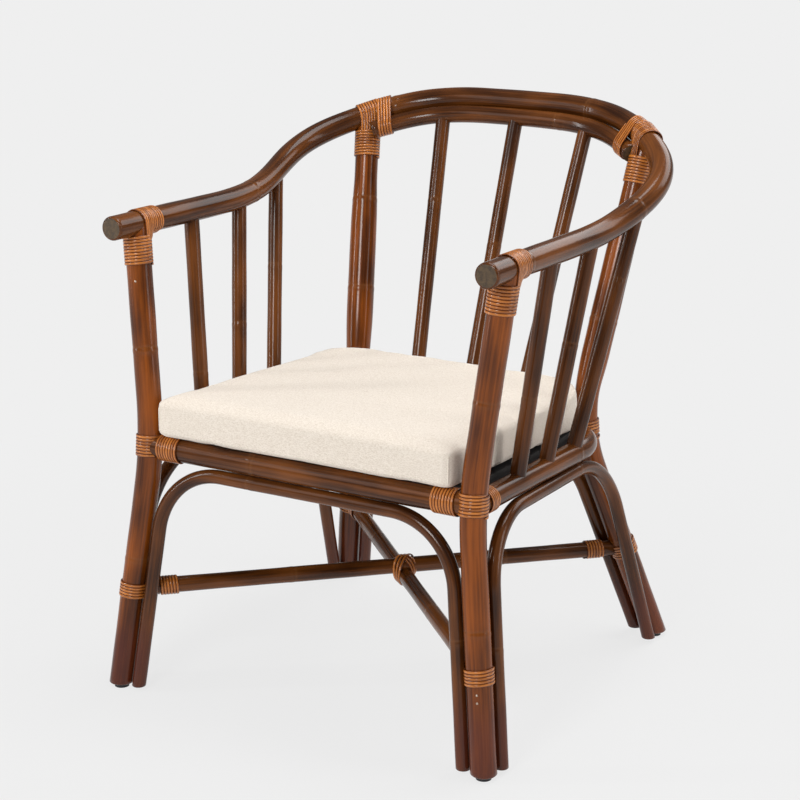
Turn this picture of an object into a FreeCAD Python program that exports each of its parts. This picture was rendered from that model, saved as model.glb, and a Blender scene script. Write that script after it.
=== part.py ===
"""Barrel-back rattan armchair with bound joints and a loose cushion (millimetres, +Z up, front at -Y)."""
import FreeCAD, Part
import Sketcher
import math
import os
from FreeCAD import Placement, Rotation, Vector

# Driving sizes: radii of the poles, then the places they run through
SIZES = {
    "post_radius": 17.0,
    "arm_radius": 16.5,
    "inner_rail_radius": 12.5,
    "spindle_radius": 10.5,
    "front_rail_radius": 14.5,
    "hoop_radius": 13.0,
    "arch_radius": 8.5,
    "stretcher_radius": 11.0,
    "slat_radius": 8.0,
    "front_foot_half": 286.0,
    "front_foot_forward": 277.0,
    "front_seat_half": 249.0,
    "front_seat_forward": 243.0,
    "seat_height": 345.0,
    "rear_foot_half": 267.0,
    "rear_foot_back": 277.0,
    "hoop_corner_half": 240.0,
    "hoop_corner_back": 128.0,
    "hoop_bow_half": 110.0,
    "hoop_rear_back": 182.0,
    "hoop_rear_height": 332.0,
    "arm_end_half": 279.0,
    "arm_end_forward": 272.0,
    "arm_height": 641.0,
    "arm_rise_half": 275.0,
    "arm_rise_back": 72.0,
    "arm_rise_height": 636.0,
    "arm_corner_half": 310.0,
    "arm_corner_back": 205.0,
    "arm_corner_height": 693.0,
    "crest_corner_half": 160.0,
    "crest_corner_back": 345.0,
    "crest_height": 754.0,
    "arm_overhang": 52.0,
    "inner_rail_drop": 20.0,
    "side_top_first": 172.0,
    "side_top_pitch": 114.0,
    "side_foot_first": 118.0,
    "side_foot_pitch": 83.0,
    "back_top_pitch": 118.0,
    "back_foot_pitch": 86.0,
    "socket_depth": 8.0,
    "long_stretcher_height": 142.0,
    "crossing_offset": 12.0,
    "slat_pitch": 93.0,
    "slat_drop": 3.0,
    "slat_socket_depth": 3.5,
    "glide_radius": 10.0,
    "glide_height": 6.0,
    "glide_shank_radius": 3.5,
    "glide_shank_length": 22.0,
    "strip_diameter": 3.2,
    "strip_pitch": 4.2,
    "binding_gap": 1.6,
    "clearance": 0.3,
    "cushion_front_half": 224.0,
    "cushion_rear_half": 216.0,
    "cushion_front_forward": 262.0,
    "cushion_rear_back": 166.0,
    "cushion_front_corner": 14.0,
    "cushion_rear_corner": 72.0,
    "cushion_thickness": 48.0,
    "cushion_edge": 7.0,
    "cushion_inset": 4.0,
    "cushion_draw_in": 1.5,
    "cushion_crown": 5.0,
    "cushion_crown_inset": 85.0,
    "cover_thickness": 1.5,
}

# Places given as shares of the run that they lie on
POST_BEND_SHARE = 0.2
ARM_BEND_SHARES = (0.47, 0.46, 0.37)
HOOP_BEND_SHARES = (0.46, 0.5)
ARCH_BEND_SHARE = 0.27
REAR_POST_HOOP_SHARE = 0.48
REAR_POST_CREST_SHARE = 0.55
SADDLE_SHARE = 0.4

# Angles in degrees and counts
SIDE_ARCH_FRONT_ANGLE = 20.0
SIDE_ARCH_REAR_ANGLE = 8.0
SLATS = 5
TURNS = {"neck": 7, "strap": 5, "crest": 5, "seat_post": 4, "seat_rail": 6, "seat_hoop": 4,
         "rear_seat": 4, "leg": 4, "stretcher": 5, "crossing": 2}
SIDES = {"left": -1, "right": 1}
UP = Vector(0, 0, 1)

doc = FreeCAD.newDocument("rattan_armchair")
sheet = doc.addObject("Spreadsheet::Sheet", "sizes")
for row, (alias, value) in enumerate(SIZES.items(), start=1):
    sheet.set("A%d" % row, alias)
    sheet.set("B%d" % row, str(value))
    sheet.setAlias("B%d" % row, alias)
doc.recompute()
sub_parts = []


def size(alias):
    """The sheet's value of one driving size."""
    return float(sheet.get(alias))


def unit(vector):
    """The same direction with length one."""
    return Vector(vector) / vector.Length


def mirrored(point):
    """The point on the chair's other side."""
    return Vector(-point.x, point.y, point.z)


def on_side(point, side):
    """A right-hand point as it is on the given side."""
    return point if SIDES[side] > 0 else mirrored(point)


def keep(name, shape):
    """Add a finished solid to the document as a named sub-part."""
    feature = doc.addObject("Part::Feature", name)
    feature.Shape = shape
    feature.Label = name
    sub_parts.append(feature)
    return feature


# Paths and poles

def bent_path(points, shares):
    """Straight runs through the points, joined by tangent arcs; a share sets each arc on its shorter run."""
    edges = []
    start = points[0]
    for index in range(1, len(points) - 1):
        corner = points[index]
        before = points[index - 1] - corner
        after = points[index + 1] - corner
        tangent = shares[index - 1] * min(before.Length, after.Length)
        arc_start = corner + unit(before) * tangent
        arc_end = corner + unit(after) * tangent
        half_turn = (math.pi - before.getAngle(after)) / 2
        middle = (arc_start + arc_end) / 2
        sagitta = (arc_end - arc_start).Length / 2 * math.tan(half_turn / 2)
        edges.append(Part.LineSegment(start, arc_start).toShape())
        edges.append(Part.Arc(arc_start, middle + unit(corner - middle) * sagitta, arc_end).toShape())
        start = arc_end
    edges.append(Part.LineSegment(start, points[-1]).toShape())
    return edges


def passing_through(points, share):
    """Three points whose middle one is moved out so that the bend itself passes through its old place."""
    first, target, last = points
    corner = target
    for _ in range(4):
        arc = bent_path([first, corner, last], [share])[1]
        corner = corner + target - arc.valueAt((arc.FirstParameter + arc.LastParameter) / 2)
    return [first, corner, last]


def along(edges, distance):
    """Point and direction at a distance along a path."""
    for edge in edges:
        if distance <= edge.Length or edge is edges[-1]:
            parameter = edge.getParameterByLength(distance)
            return edge.valueAt(parameter), unit(edge.tangentAt(parameter))
        distance -= edge.Length


def path_length(edges):
    """Length of a whole path."""
    return sum(edge.Length for edge in edges)


def tube(edges, radius):
    """Round solid that follows a path."""
    start, direction = along(edges, 0)
    circle = Part.Wire(Part.makeCircle(radius, start, direction))
    return Part.Wire(edges).makePipeShell([circle], True, False)


def rod(start, end, radius):
    """Straight round solid between two points."""
    return Part.makeCylinder(radius, (end - start).Length, start, end - start)


def below(height):
    """Everything under a level, as wide as the chair."""
    reach = size("front_foot_half") + size("rear_foot_back")
    depth = size("seat_height")
    return Part.makeBox(2 * reach, 2 * reach, depth, Vector(-reach, -reach, height - depth))


def at_height(line, height):
    """Point where a straight line through two points reaches a height."""
    start, end = line
    return start + (end - start) * ((height - start.z) / (end.z - start.z))


def beside(direction, towards, distance):
    """Sideways shift that sets two parallel poles a distance apart, axis to axis."""
    slant = unit(direction).dot(unit(towards))
    return unit(towards) * (distance / math.sqrt(1 - slant * slant))


clear = size("clearance")
strip_room = size("strip_diameter") + 2 * clear
bound_post_radius = size("post_radius") + strip_room

# Layout of the arm rail, the seat hoop and the posts, right-hand side
arm_points = [
    Vector(size("arm_end_half"), -size("arm_end_forward"), size("arm_height")),
    Vector(size("arm_rise_half"), size("arm_rise_back"), size("arm_rise_height")),
    Vector(size("arm_corner_half"), size("arm_corner_back"), size("arm_corner_height")),
    Vector(size("crest_corner_half"), size("crest_corner_back"), size("crest_height")),
]
arm_path = bent_path(arm_points + [mirrored(point) for point in reversed(arm_points)],
                     ARM_BEND_SHARES + tuple(reversed(ARM_BEND_SHARES)))
front_top = along(arm_path, size("arm_overhang"))[0]
rear_top = arm_points[2] + (arm_points[3] - arm_points[2]) * REAR_POST_CREST_SHARE

front_seat = Vector(size("front_seat_half"), -size("front_seat_forward"), size("seat_height"))
hoop_bow = Vector(size("hoop_bow_half"), size("hoop_rear_back"), size("hoop_rear_height"))
fall_share = (size("hoop_corner_back") + size("front_seat_forward")) / (hoop_bow.y - front_seat.y)
corner_level = front_seat.z + (hoop_bow.z - front_seat.z) * fall_share
hoop_corner = Vector(size("hoop_corner_half"), size("hoop_corner_back"), corner_level)
hoop_points = [front_seat, hoop_corner, hoop_bow]
hoop_path = bent_path(hoop_points + [mirrored(point) for point in reversed(hoop_points)],
                      HOOP_BEND_SHARES + tuple(reversed(HOOP_BEND_SHARES)))

hoop_slant = hoop_bow - hoop_corner
hoop_touch = hoop_corner + hoop_slant * REAR_POST_HOOP_SHARE
rear_seat = hoop_touch + unit(hoop_slant.cross(UP)) * (size("hoop_radius") + bound_post_radius)

front_foot = Vector(size("front_foot_half"), -size("front_foot_forward"), 0)
rear_foot = Vector(size("rear_foot_half"), size("rear_foot_back"), 0)
front_line = passing_through([front_foot, front_seat, front_top], POST_BEND_SHARE)
rear_line = passing_through([rear_foot, rear_seat, rear_top], POST_BEND_SHARE)
front_leg = front_line[:2]
rear_leg = rear_line[:2]
cross_stretcher_height = size("long_stretcher_height") - size("crossing_offset")


def spindle_line(foot, top, foot_radius, top_radius):
    """Axis of a spindle between two rails' axes, let into both by the socket depth."""
    direction = unit(top - foot)
    start = foot + direction * (foot_radius - size("socket_depth"))
    end = top - direction * (top_radius - size("socket_depth"))
    return start, end


def socket(line):
    """Drilled seat of a spindle or slat, with its clearance."""
    start, end = line
    direction = unit(end - start)
    return rod(start - direction * clear, end + direction * clear, size("spindle_radius") + clear)


# Layout of the inner back rail: set in front of the crest and lower, one contact distance away
contact = size("arm_radius") + size("inner_rail_radius") + 2 * clear
inner_set_in = math.sqrt(contact ** 2 - size("inner_rail_drop") ** 2)
crest_run = unit(Vector(arm_points[3].x - arm_points[2].x, arm_points[3].y - arm_points[2].y, 0))
run_normal = Vector(-crest_run.y, crest_run.x, 0)
middle_normal = Vector(0, -1, 0)
mitre = (run_normal + middle_normal) * (inner_set_in / (1 + run_normal.dot(middle_normal)))
inner_drop = UP * size("inner_rail_drop")
inner_points = [rear_top + run_normal * inner_set_in - inner_drop, arm_points[3] + mitre - inner_drop]
inner_bend_share = ARM_BEND_SHARES[2] / (1 - REAR_POST_CREST_SHARE)
inner_path = bent_path(inner_points + [mirrored(point) for point in reversed(inner_points)],
                       (inner_bend_share, inner_bend_share))

# Layout of the spindles
spindle_lines = {}
for order, place in enumerate(("front", "middle", "rear")):
    top = along(arm_path, size("side_top_first") + order * size("side_top_pitch"))[0]
    foot = along(hoop_path, size("side_foot_first") + order * size("side_foot_pitch"))[0]
    for side in SIDES:
        spindle_lines["%s_spindle_%s" % (side, place)] = spindle_line(
            on_side(foot, side), on_side(top, side), size("hoop_radius"), size("arm_radius"))
for offset, place in ((-1, "right"), (0, "centre"), (1, "left")):
    top = along(inner_path, path_length(inner_path) / 2 + offset * size("back_top_pitch"))[0]
    foot = along(hoop_path, path_length(hoop_path) / 2 + offset * size("back_foot_pitch"))[0]
    spindle_lines["back_spindle_%s" % place] = spindle_line(
        foot, top, size("hoop_radius"), size("inner_rail_radius"))
side_sockets = [socket(line) for name, line in spindle_lines.items() if not name.startswith("back")]
back_sockets = [socket(line) for name, line in spindle_lines.items() if name.startswith("back")]

# Layout of the seat slats: front rail to the bowed rear of the hoop, under the cushion

def at_side(across):
    """Point of the hoop's rear half at a distance across from the middle."""
    low, high = path_length(hoop_path) / 4, path_length(hoop_path) / 2
    for _ in range(30):
        middle = (low + high) / 2
        if along(hoop_path, middle)[0].x > abs(across):
            low = middle
        else:
            high = middle
    return along(hoop_path, low)[0]


slat_depth = size("slat_radius") + size("slat_drop")
front_rail_top = size("seat_height") + size("front_rail_radius")
hoop_rear_top = size("hoop_rear_height") + size("hoop_radius")
slat_front = Vector(0, -size("front_seat_forward") + size("front_rail_radius") - size("slat_socket_depth"),
                    front_rail_top - slat_depth)
slat_rear = Vector(0, size("hoop_rear_back") - size("hoop_radius") + size("slat_socket_depth"),
                   hoop_rear_top - slat_depth)
slat_run = unit(slat_rear - slat_front)
slat_lines = []
for index in range(SLATS):
    across = Vector((index - (SLATS - 1) / 2) * size("slat_pitch"), 0, 0)
    bow = at_side(across.x).y - size("hoop_rear_back")
    slat_lines.append((across + slat_front, across + slat_rear + slat_run * bow))
slat_seats = [rod(start - slat_run * clear, end + slat_run * clear, size("slat_radius") + clear)
              for start, end in slat_lines]


# Poles

def build_arm_rail():
    """One pole: right arm, crest and left arm, drilled for the side spindles."""
    return tube(arm_path, size("arm_radius")).cut(side_sockets)


def build_inner_back_rail():
    """Thinner pole before the crest, coped to the bound rear posts and drilled for the back spindles."""
    pole = tube(inner_path, size("inner_rail_radius"))
    for side in SIDES:
        upper = [on_side(point, side) for point in (rear_line[1], rear_top)]
        pole = pole.cut(rod(upper[0], upper[1] + (upper[1] - upper[0]), bound_post_radius))
    return pole.cut(back_sockets)


def shorter_run(points):
    """Length of the shorter of a post's two runs."""
    return min((points[1] - points[0]).Length, (points[2] - points[1]).Length)


def build_post(line, side):
    """Post bent at the seat: flat foot drilled for its glide, top saddled to the arm rail."""
    points = [on_side(point, side) for point in line]
    saddle = unit(points[1] - points[2]) * (size("arm_radius") * SADDLE_SHARE)
    points[2] = points[2] + saddle
    leg = unit(points[1] - points[0])
    points[0] = points[0] - leg * (size("glide_height") + size("post_radius"))
    bend = POST_BEND_SHARE * shorter_run(line) / shorter_run(points)
    pole = tube(bent_path(points, [bend]), size("post_radius"))
    pole = pole.cut(below(size("glide_height"))).cut(tube(arm_path, size("arm_radius") + clear))
    foot = at_height([on_side(point, side) for point in line[:2]], size("glide_height"))
    hole_depth = size("glide_shank_length") + clear
    return pole.cut(Part.makeCylinder(size("glide_shank_radius") + clear, hole_depth, foot))


def build_front_seat_rail():
    """Straight pole between the front posts, coped to their bindings and notched for the slats."""
    rail = rod(mirrored(front_seat), front_seat, size("front_rail_radius"))
    for side in SIDES:
        rail = rail.cut(bound_zone(front_line, side))
    return rail.cut(slat_seats)


def bound_zone(line, side):
    """Room that a post and the binding round it take up at the seat."""
    centre, axis = seat_bend(line, side)
    reach = axis * (2 * size("post_radius"))
    return rod(centre - reach, centre + reach, bound_post_radius)


def seat_bend(line, side):
    """Middle of a post's bend at the seat and the post's direction there."""
    arc = bent_path([on_side(point, side) for point in line], [POST_BEND_SHARE])[1]
    parameter = (arc.FirstParameter + arc.LastParameter) / 2
    return arc.valueAt(parameter), unit(arc.tangentAt(parameter))


def build_seat_hoop():
    """Side, rear and side rail in one pole, drilled for every spindle and for the slats."""
    hoop = tube(hoop_path, size("hoop_radius"))
    for side in SIDES:
        hoop = hoop.cut(bound_zone(front_line, side))
    return hoop.cut(side_sockets + back_sockets + slat_seats)


def arch_between(first_leg, second_leg, first_shift, second_shift, rail_points, rail_radius):
    """Inverted U: two legs beside the posts, joined by a run under the seat rail."""
    reach = rail_radius + size("arch_radius") + clear
    rail_run = unit(rail_points[1] - rail_points[0])
    lines = [[point + first_shift for point in first_leg], [point + second_shift for point in second_leg]]
    nearest = []
    asides = []
    for line, rail in zip(lines, rail_points):
        under = at_height(line, rail.z - reach)
        nearest.append(rail + rail_run * (under - rail).dot(rail_run))
        asides.append(math.hypot(under.x - nearest[-1].x, under.y - nearest[-1].y))
    drop = math.sqrt(reach ** 2 - min(asides + [reach / 2]) ** 2)
    tops = [at_height(line, rail.z - drop) for line, rail in zip(lines, nearest)]
    points = [at_height(lines[0], 0), tops[0], tops[1], at_height(lines[1], 0)]
    arch = tube(bent_path(points, (ARCH_BEND_SHARE, ARCH_BEND_SHARE)), size("arch_radius"))
    return arch.cut(below(size("glide_height")))


arch_spacing = bound_post_radius + size("arch_radius")


def build_cross_arch(leg, rail_point, rail_radius):
    """Front or rear arch: its legs stand on the inner side of the left and right posts."""
    shift = beside(leg[1] - leg[0], Vector(-1, 0, 0), arch_spacing)
    return arch_between(leg, [mirrored(point) for point in leg], shift, mirrored(shift),
                        [rail_point, mirrored(rail_point)], rail_radius)


def build_side_arch(side):
    """Side arch: behind the front post, before the rear post and under the side of the hoop."""
    front_turn = math.radians(SIDE_ARCH_FRONT_ANGLE)
    rear_turn = math.radians(SIDE_ARCH_REAR_ANGLE)
    front_out = Vector(math.sin(front_turn), math.cos(front_turn), 0)
    rear_out = Vector(math.sin(rear_turn), -math.cos(rear_turn), 0)
    front_shift = beside(front_leg[1] - front_leg[0], front_out, arch_spacing)
    rear_shift = beside(rear_leg[1] - rear_leg[0], rear_out, arch_spacing)
    rear_lean = [rear_foot, hoop_corner - rear_shift]
    return arch_between([on_side(point, side) for point in front_leg],
                        [on_side(point, side) for point in rear_lean],
                        on_side(front_shift, side), on_side(rear_shift, side),
                        [on_side(front_seat, side), on_side(hoop_corner, side)], size("hoop_radius"))


def stretcher_axis(front_side, rear_side, height):
    """Axis of a diagonal stretcher, from the axis of a front post to that of a rear post."""
    front = at_height([on_side(point, front_side) for point in front_leg], height)
    rear = at_height([on_side(point, rear_side) for point in rear_leg], height)
    return front, rear


stretchers = {
    "long_stretcher": ("left", "right", size("long_stretcher_height")),
    "cross_stretcher": ("right", "left", cross_stretcher_height),
}


def build_stretcher(name):
    """Diagonal pole, coped at both ends to the bound legs; the lower one is notched for the upper."""
    front_side, rear_side, height = stretchers[name]
    front, rear = stretcher_axis(front_side, rear_side, height)
    pole = rod(front, rear, size("stretcher_radius"))
    for leg, side in ((front_leg, front_side), (rear_leg, rear_side)):
        pole = pole.cut(rod(on_side(leg[0], side), on_side(leg[1], side), bound_post_radius))
    if name == "cross_stretcher":
        pole = pole.cut(rod(*stretcher_axis(*stretchers["long_stretcher"]), size("stretcher_radius") + clear))
    return pole


keep("arm_rail", build_arm_rail())
keep("inner_back_rail", build_inner_back_rail())
for side in SIDES:
    keep("front_post_%s" % side, build_post(front_line, side))
    keep("rear_post_%s" % side, build_post(rear_line, side))
keep("front_seat_rail", build_front_seat_rail())
keep("seat_hoop", build_seat_hoop())
keep("front_arch", build_cross_arch(front_leg, front_seat, size("front_rail_radius")))
keep("rear_arch", build_cross_arch(rear_leg, hoop_bow, size("hoop_radius")))
for side in SIDES:
    keep("%s_arch" % side, build_side_arch(side))
for name in stretchers:
    keep(name, build_stretcher(name))


# Straight spindles and slats as cylinders whose radius follows the sheet

def keep_rod(name, line, radius_alias):
    """Cylinder primitive along a line."""
    start, end = line
    cylinder = doc.addObject("Part::Cylinder", name)
    cylinder.Label = name
    cylinder.setExpression("Radius", "sizes.%s" % radius_alias)
    cylinder.Height = (end - start).Length
    cylinder.Placement = Placement(start, Rotation(UP, end - start))
    sub_parts.append(cylinder)


for name, line in spindle_lines.items():
    keep_rod(name, line, "spindle_radius")
for index, line in enumerate(slat_lines, start=1):
    keep_rod("seat_slat_%d" % index, line, "slat_radius")


# Foot glides: a disc on the floor with a shank in the post's end

def add_round_pad(body, name, radius_alias, length_expression):
    """Pad a circle on the body's base plane; radius and length follow the sheet."""
    plane = [item for item in body.Origin.OriginFeatures if item.Role == "XY_Plane"][0]
    sketch = body.newObject("Sketcher::SketchObject", name + "_outline")
    sketch.AttachmentSupport = [(plane, "")]
    sketch.MapMode = "FlatFace"
    circle = sketch.addGeometry(Part.Circle(Vector(), UP, size(radius_alias)), False)
    radius = sketch.addConstraint(Sketcher.Constraint("Radius", circle, size(radius_alias)))
    sketch.setExpression("Constraints[%d]" % radius, "sizes.%s" % radius_alias)
    pad = body.newObject("PartDesign::Pad", name)
    pad.Profile = sketch
    pad.setExpression("Length", length_expression)


def build_glide(name, line, side):
    """Black foot glide under one post."""
    body = doc.addObject("PartDesign::Body", name)
    body.Label = name
    add_round_pad(body, name + "_disc", "glide_radius", "sizes.glide_height")
    add_round_pad(body, name + "_shank", "glide_shank_radius", "sizes.glide_height + sizes.glide_shank_length")
    foot = at_height([on_side(point, side) for point in line[:2]], size("glide_height"))
    body.Placement = Placement(Vector(foot.x, foot.y, 0), Rotation())
    sub_parts.append(body)


for side in SIDES:
    build_glide("glide_front_%s" % side, front_line, side)
    build_glide("glide_rear_%s" % side, rear_line, side)


# Cushion: trapezoid box pad with rounded corners, drawn-in sides and a low crown

def cushion_outline(level, inset):
    """Closed outline at a level, drawn in from the full plan by an inset."""
    front = -size("cushion_front_forward") + inset
    rear = size("cushion_rear_back") - inset
    corners = [
        (Vector(-size("cushion_front_half") + inset, front, level), size("cushion_front_corner")),
        (Vector(size("cushion_front_half") - inset, front, level), size("cushion_front_corner")),
        (Vector(size("cushion_rear_half") - inset, rear, level), size("cushion_rear_corner")),
        (Vector(-size("cushion_rear_half") + inset, rear, level), size("cushion_rear_corner")),
    ]
    edges = []
    for index, (corner, radius) in enumerate(corners):
        before = unit(corners[index - 1][0] - corner)
        after = unit(corners[(index + 1) % len(corners)][0] - corner)
        half_turn = (math.pi - before.getAngle(after)) / 2
        tangent = radius * math.tan(half_turn)
        start = corner + before * tangent
        end = corner + after * tangent
        middle = (start + end) / 2
        sagitta = (end - start).Length / 2 * math.tan(half_turn / 2)
        edges.append((start, middle + unit(corner - middle) * sagitta, end))
    outline = []
    for index, (start, middle, end) in enumerate(edges):
        outline.append(Part.LineSegment(edges[index - 1][2], start).toShape())
        outline.append(Part.Arc(start, middle, end).toShape())
    return Part.Wire(outline)


cushion_bottom = front_rail_top + strip_room + clear
seat_slope = math.degrees(math.atan2(hoop_rear_top + clear - cushion_bottom,
                                     size("hoop_rear_back") + size("front_seat_forward")))


def cushion_form(skin):
    """The pad's form, drawn in all round by a skin."""
    bottom = cushion_bottom + skin
    top = cushion_bottom + size("cushion_thickness") - skin
    edge = size("cushion_edge")
    inset = size("cushion_inset") + skin
    side_levels = [(bottom, inset), (bottom + edge, skin), ((bottom + top) / 2, size("cushion_draw_in") + skin),
                   (top - edge, skin), (top, inset)]
    sides = Part.makeLoft([cushion_outline(level, draw) for level, draw in side_levels], True, True)
    crown_levels = [(top, inset), (top + size("cushion_crown"), size("cushion_crown_inset"))]
    crown = Part.makeLoft([cushion_outline(level, draw) for level, draw in crown_levels], True, True)
    form = sides.fuse(crown).removeSplitter()
    form.rotate(Vector(0, -size("front_seat_forward"), cushion_bottom), Vector(1, 0, 0), seat_slope)
    return form


foam_gap = size("cover_thickness") + clear
keep("cushion_cover", cushion_form(0).cut(cushion_form(size("cover_thickness"))))
keep("cushion_foam", cushion_form(foam_gap))


# Bindings: rattan peel wound round one pole, or round two poles that lie together

def biarc(start, start_direction, end, end_direction):
    """Two tangent arcs from one point and direction to another."""
    chord = end - start
    total = start_direction + end_direction
    bend = 2 * (1 - start_direction.dot(end_direction))
    reach = (math.sqrt(chord.dot(total) ** 2 + bend * chord.dot(chord)) - chord.dot(total)) / bend
    first_control = start + start_direction * reach
    second_control = end - end_direction * reach
    joint = (first_control + second_control) / 2
    return [corner_arc_edge(start, first_control, joint), corner_arc_edge(joint, second_control, end)]


def corner_arc_edge(start, control, end):
    """Arc from start to end, tangent to the two equal lines that meet at the control point."""
    middle = (start + end) / 2
    turn = (control - start).getAngle(end - control)
    sagitta = (end - start).Length / 2 * math.tan(turn / 4)
    return Part.Arc(start, middle + unit(control - middle) * sagitta, end).toShape()


def turn_stations(circles):
    """Stations of one turn round one or two circles: place, direction and length so far."""
    if len(circles) == 1:
        stretches = [(circles[0], 0.0, 2 * math.pi, 2)]
    else:
        (first, first_radius), (second, second_radius) = circles
        apart = second - first
        heading = math.atan2(apart.y, apart.x)
        spread = math.acos((first_radius - second_radius) / apart.Length)
        stretches = [(circles[0], heading + spread, heading + 2 * math.pi - spread, 2),
                     (circles[1], heading - spread, heading + spread, 2)]
    stations = []
    length = 0.0
    for (centre, radius), begin, finish, parts in stretches:
        for step in range(parts + 1):
            angle = begin + (finish - begin) * step / parts
            place = centre + Vector(math.cos(angle), math.sin(angle), 0) * radius
            if step == 0 and stations:
                length += (place - stations[-1][0]).Length
            elif step:
                length += radius * (finish - begin) / parts
            stations.append((place, Vector(-math.sin(angle), math.cos(angle), 0), length))
    closing = (stations[0][0] - stations[-1][0]).Length
    return stations, length + closing


def winding_path(origin, axis, across, circles, turns):
    """Edges of an unbroken winding that climbs one pitch a turn along the axis, centred on the origin."""
    axis = unit(axis)
    across = unit(across - axis * across.dot(axis))
    upright = axis.cross(across)
    stations, perimeter = turn_stations(circles)
    pitch = size("strip_pitch")
    slope = math.atan2(pitch, perimeter)
    begin = origin - axis * (pitch * turns / 2)

    def placed(station, turn):
        place, direction, length = station
        point = begin + across * place.x + upright * place.y + axis * (pitch * (turn + length / perimeter))
        heading = (across * direction.x + upright * direction.y) * math.cos(slope) + axis * math.sin(slope)
        return point, heading

    route = [placed(station, turn) for turn in range(turns) for station in stations]
    route = [item for index, item in enumerate(route)
             if index == 0 or (item[0] - route[index - 1][0]).Length > clear]
    edges = []
    for (start, start_heading), (end, end_heading) in zip(route, route[1:]):
        if start_heading.getAngle(end_heading) < math.radians(1):
            edges.append(Part.LineSegment(start, end).toShape())
        else:
            edges.extend(biarc(start, start_heading, end, end_heading))
    run_out = size("strip_diameter")
    edges.insert(0, Part.LineSegment(route[0][0] - route[0][1] * run_out, route[0][0]).toShape())
    edges.append(Part.LineSegment(route[-1][0], route[-1][0] + route[-1][1] * run_out).toShape())
    return edges


least_gaps = {}


def winding(name, origin, axis, across, circles, turns):
    """Solid of one binding; its least gap to itself is measured on points and noted."""
    edges = winding_path(origin, axis, across, circles, turns)
    points = [edge.valueAt(edge.FirstParameter + (edge.LastParameter - edge.FirstParameter) * share / 4)
              for edge in edges for share in range(4)]
    per_turn = len(points) // turns
    gaps = [(points[index] - points[other]).Length - size("strip_diameter")
            for index in range(len(points)) for other in range(index + per_turn // 2, len(points))]
    least_gaps[name] = min([min(gaps)] + [least_gaps.get(name, min(gaps))])
    return tube(edges, size("strip_diameter") / 2)


strip_offset = clear + size("strip_diameter") / 2


def around(radius):
    """A single circle of strip centres round a pole of the given radius."""
    return [(Vector(), radius + strip_offset)]


def coil_length(turns):
    """Length that a winding takes up along its pole."""
    return turns * size("strip_pitch") + size("strip_diameter")


def neck_coil(name, line, side, rail_direction):
    """Coil round a post just under the arm rail, low enough for its slanting rim to clear the rail."""
    top, corner = on_side(line[2], side), on_side(line[1], side)
    down = unit(corner - top)
    slant = abs(down.dot(on_side(rail_direction, side)))
    from_axis = size("arm_radius") + strip_room + size("binding_gap") + bound_post_radius * slant
    start = from_axis / math.sqrt(1 - slant ** 2)
    centre = top + down * (start + coil_length(TURNS["neck"]) / 2)
    return winding(name, centre, down, Vector(1, 0, 0), around(size("post_radius")), TURNS["neck"])


def build_arm_bindings():
    """Neck coils of the front posts and straps round the arms behind them."""
    solids = []
    distance = size("arm_overhang") + size("post_radius") + size("binding_gap") + coil_length(TURNS["strap"]) / 2
    place, direction = along(arm_path, distance)
    for side in SIDES:
        solids.append(neck_coil("arm_bindings", front_line, side, direction))
        solids.append(winding("arm_bindings", on_side(place, side), on_side(direction, side), UP,
                              around(size("arm_radius")), TURNS["strap"]))
    return solids


def build_crest_bindings():
    """Neck coils of the rear posts and wraps round the crest and the inner rail together."""
    solids = []
    half_length = coil_length(TURNS["crest"]) / 2
    to_post = bound_post_radius + size("binding_gap") + half_length
    run_edge = arm_path[4]
    to_rear_top = path_length(arm_path[:4]) + (rear_top - run_edge.valueAt(run_edge.FirstParameter)).Length
    place, direction = along(arm_path, to_rear_top + to_post)
    inner_place = along(inner_path, to_post)[0]
    apart = inner_place - place
    apart = apart - direction * apart.dot(direction)
    bend_room = half_length ** 2 / (2 * inner_path[1].Curve.Radius)
    for side in SIDES:
        solids.append(neck_coil("crest_bindings", rear_line, side, unit(arm_points[3] - arm_points[2])))
        origin = on_side(place, side)
        axis = on_side(direction, side)
        across = on_side(apart, side)
        circles = [(Vector(), size("arm_radius") + strip_offset + bend_room),
                   (Vector(across.Length, 0, 0), size("inner_rail_radius") + strip_offset + bend_room)]
        solids.append(winding("crest_bindings", origin, axis, across, circles, TURNS["crest"]))
    return solids


def build_front_seat_bindings():
    """Coils round the front posts at the seat, round the front rail's ends and round the hoop's ends."""
    solids = []
    rail_start = bound_post_radius + size("binding_gap")
    for side in SIDES:
        solids.append(winding("front_seat_bindings", *seat_bend(front_line, side), Vector(1, 0, 0),
                              around(size("post_radius")), TURNS["seat_post"]))
        inwards = on_side(Vector(-1, 0, 0), side)
        rail_centre = on_side(front_seat, side) + inwards * (rail_start + coil_length(TURNS["seat_rail"]) / 2)
        solids.append(winding("front_seat_bindings", rail_centre, inwards, UP,
                              around(size("front_rail_radius")), TURNS["seat_rail"]))
        hoop_run = unit(hoop_corner - front_seat)
        hoop_centre = front_seat + hoop_run * (rail_start + coil_length(TURNS["seat_hoop"]) / 2)
        solids.append(winding("front_seat_bindings", on_side(hoop_centre, side), on_side(hoop_run, side), UP,
                              around(size("hoop_radius")), TURNS["seat_hoop"]))
    return solids


def build_rear_seat_bindings():
    """Coils round the rear posts where the hoop passes them."""
    return [winding("rear_seat_bindings", *seat_bend(rear_line, side), Vector(1, 0, 0),
                    around(size("post_radius")), TURNS["rear_seat"]) for side in SIDES]


def build_leg_bindings():
    """Rings of peel round the four legs where the stretchers meet them."""
    solids = []
    for front_side, rear_side, height in stretchers.values():
        for leg, side in ((front_leg, front_side), (rear_leg, rear_side)):
            points = [on_side(point, side) for point in leg]
            solids.append(winding("leg_bindings", at_height(points, height), points[1] - points[0],
                                  Vector(1, 0, 0), around(size("post_radius")), TURNS["leg"]))
    return solids


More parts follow.
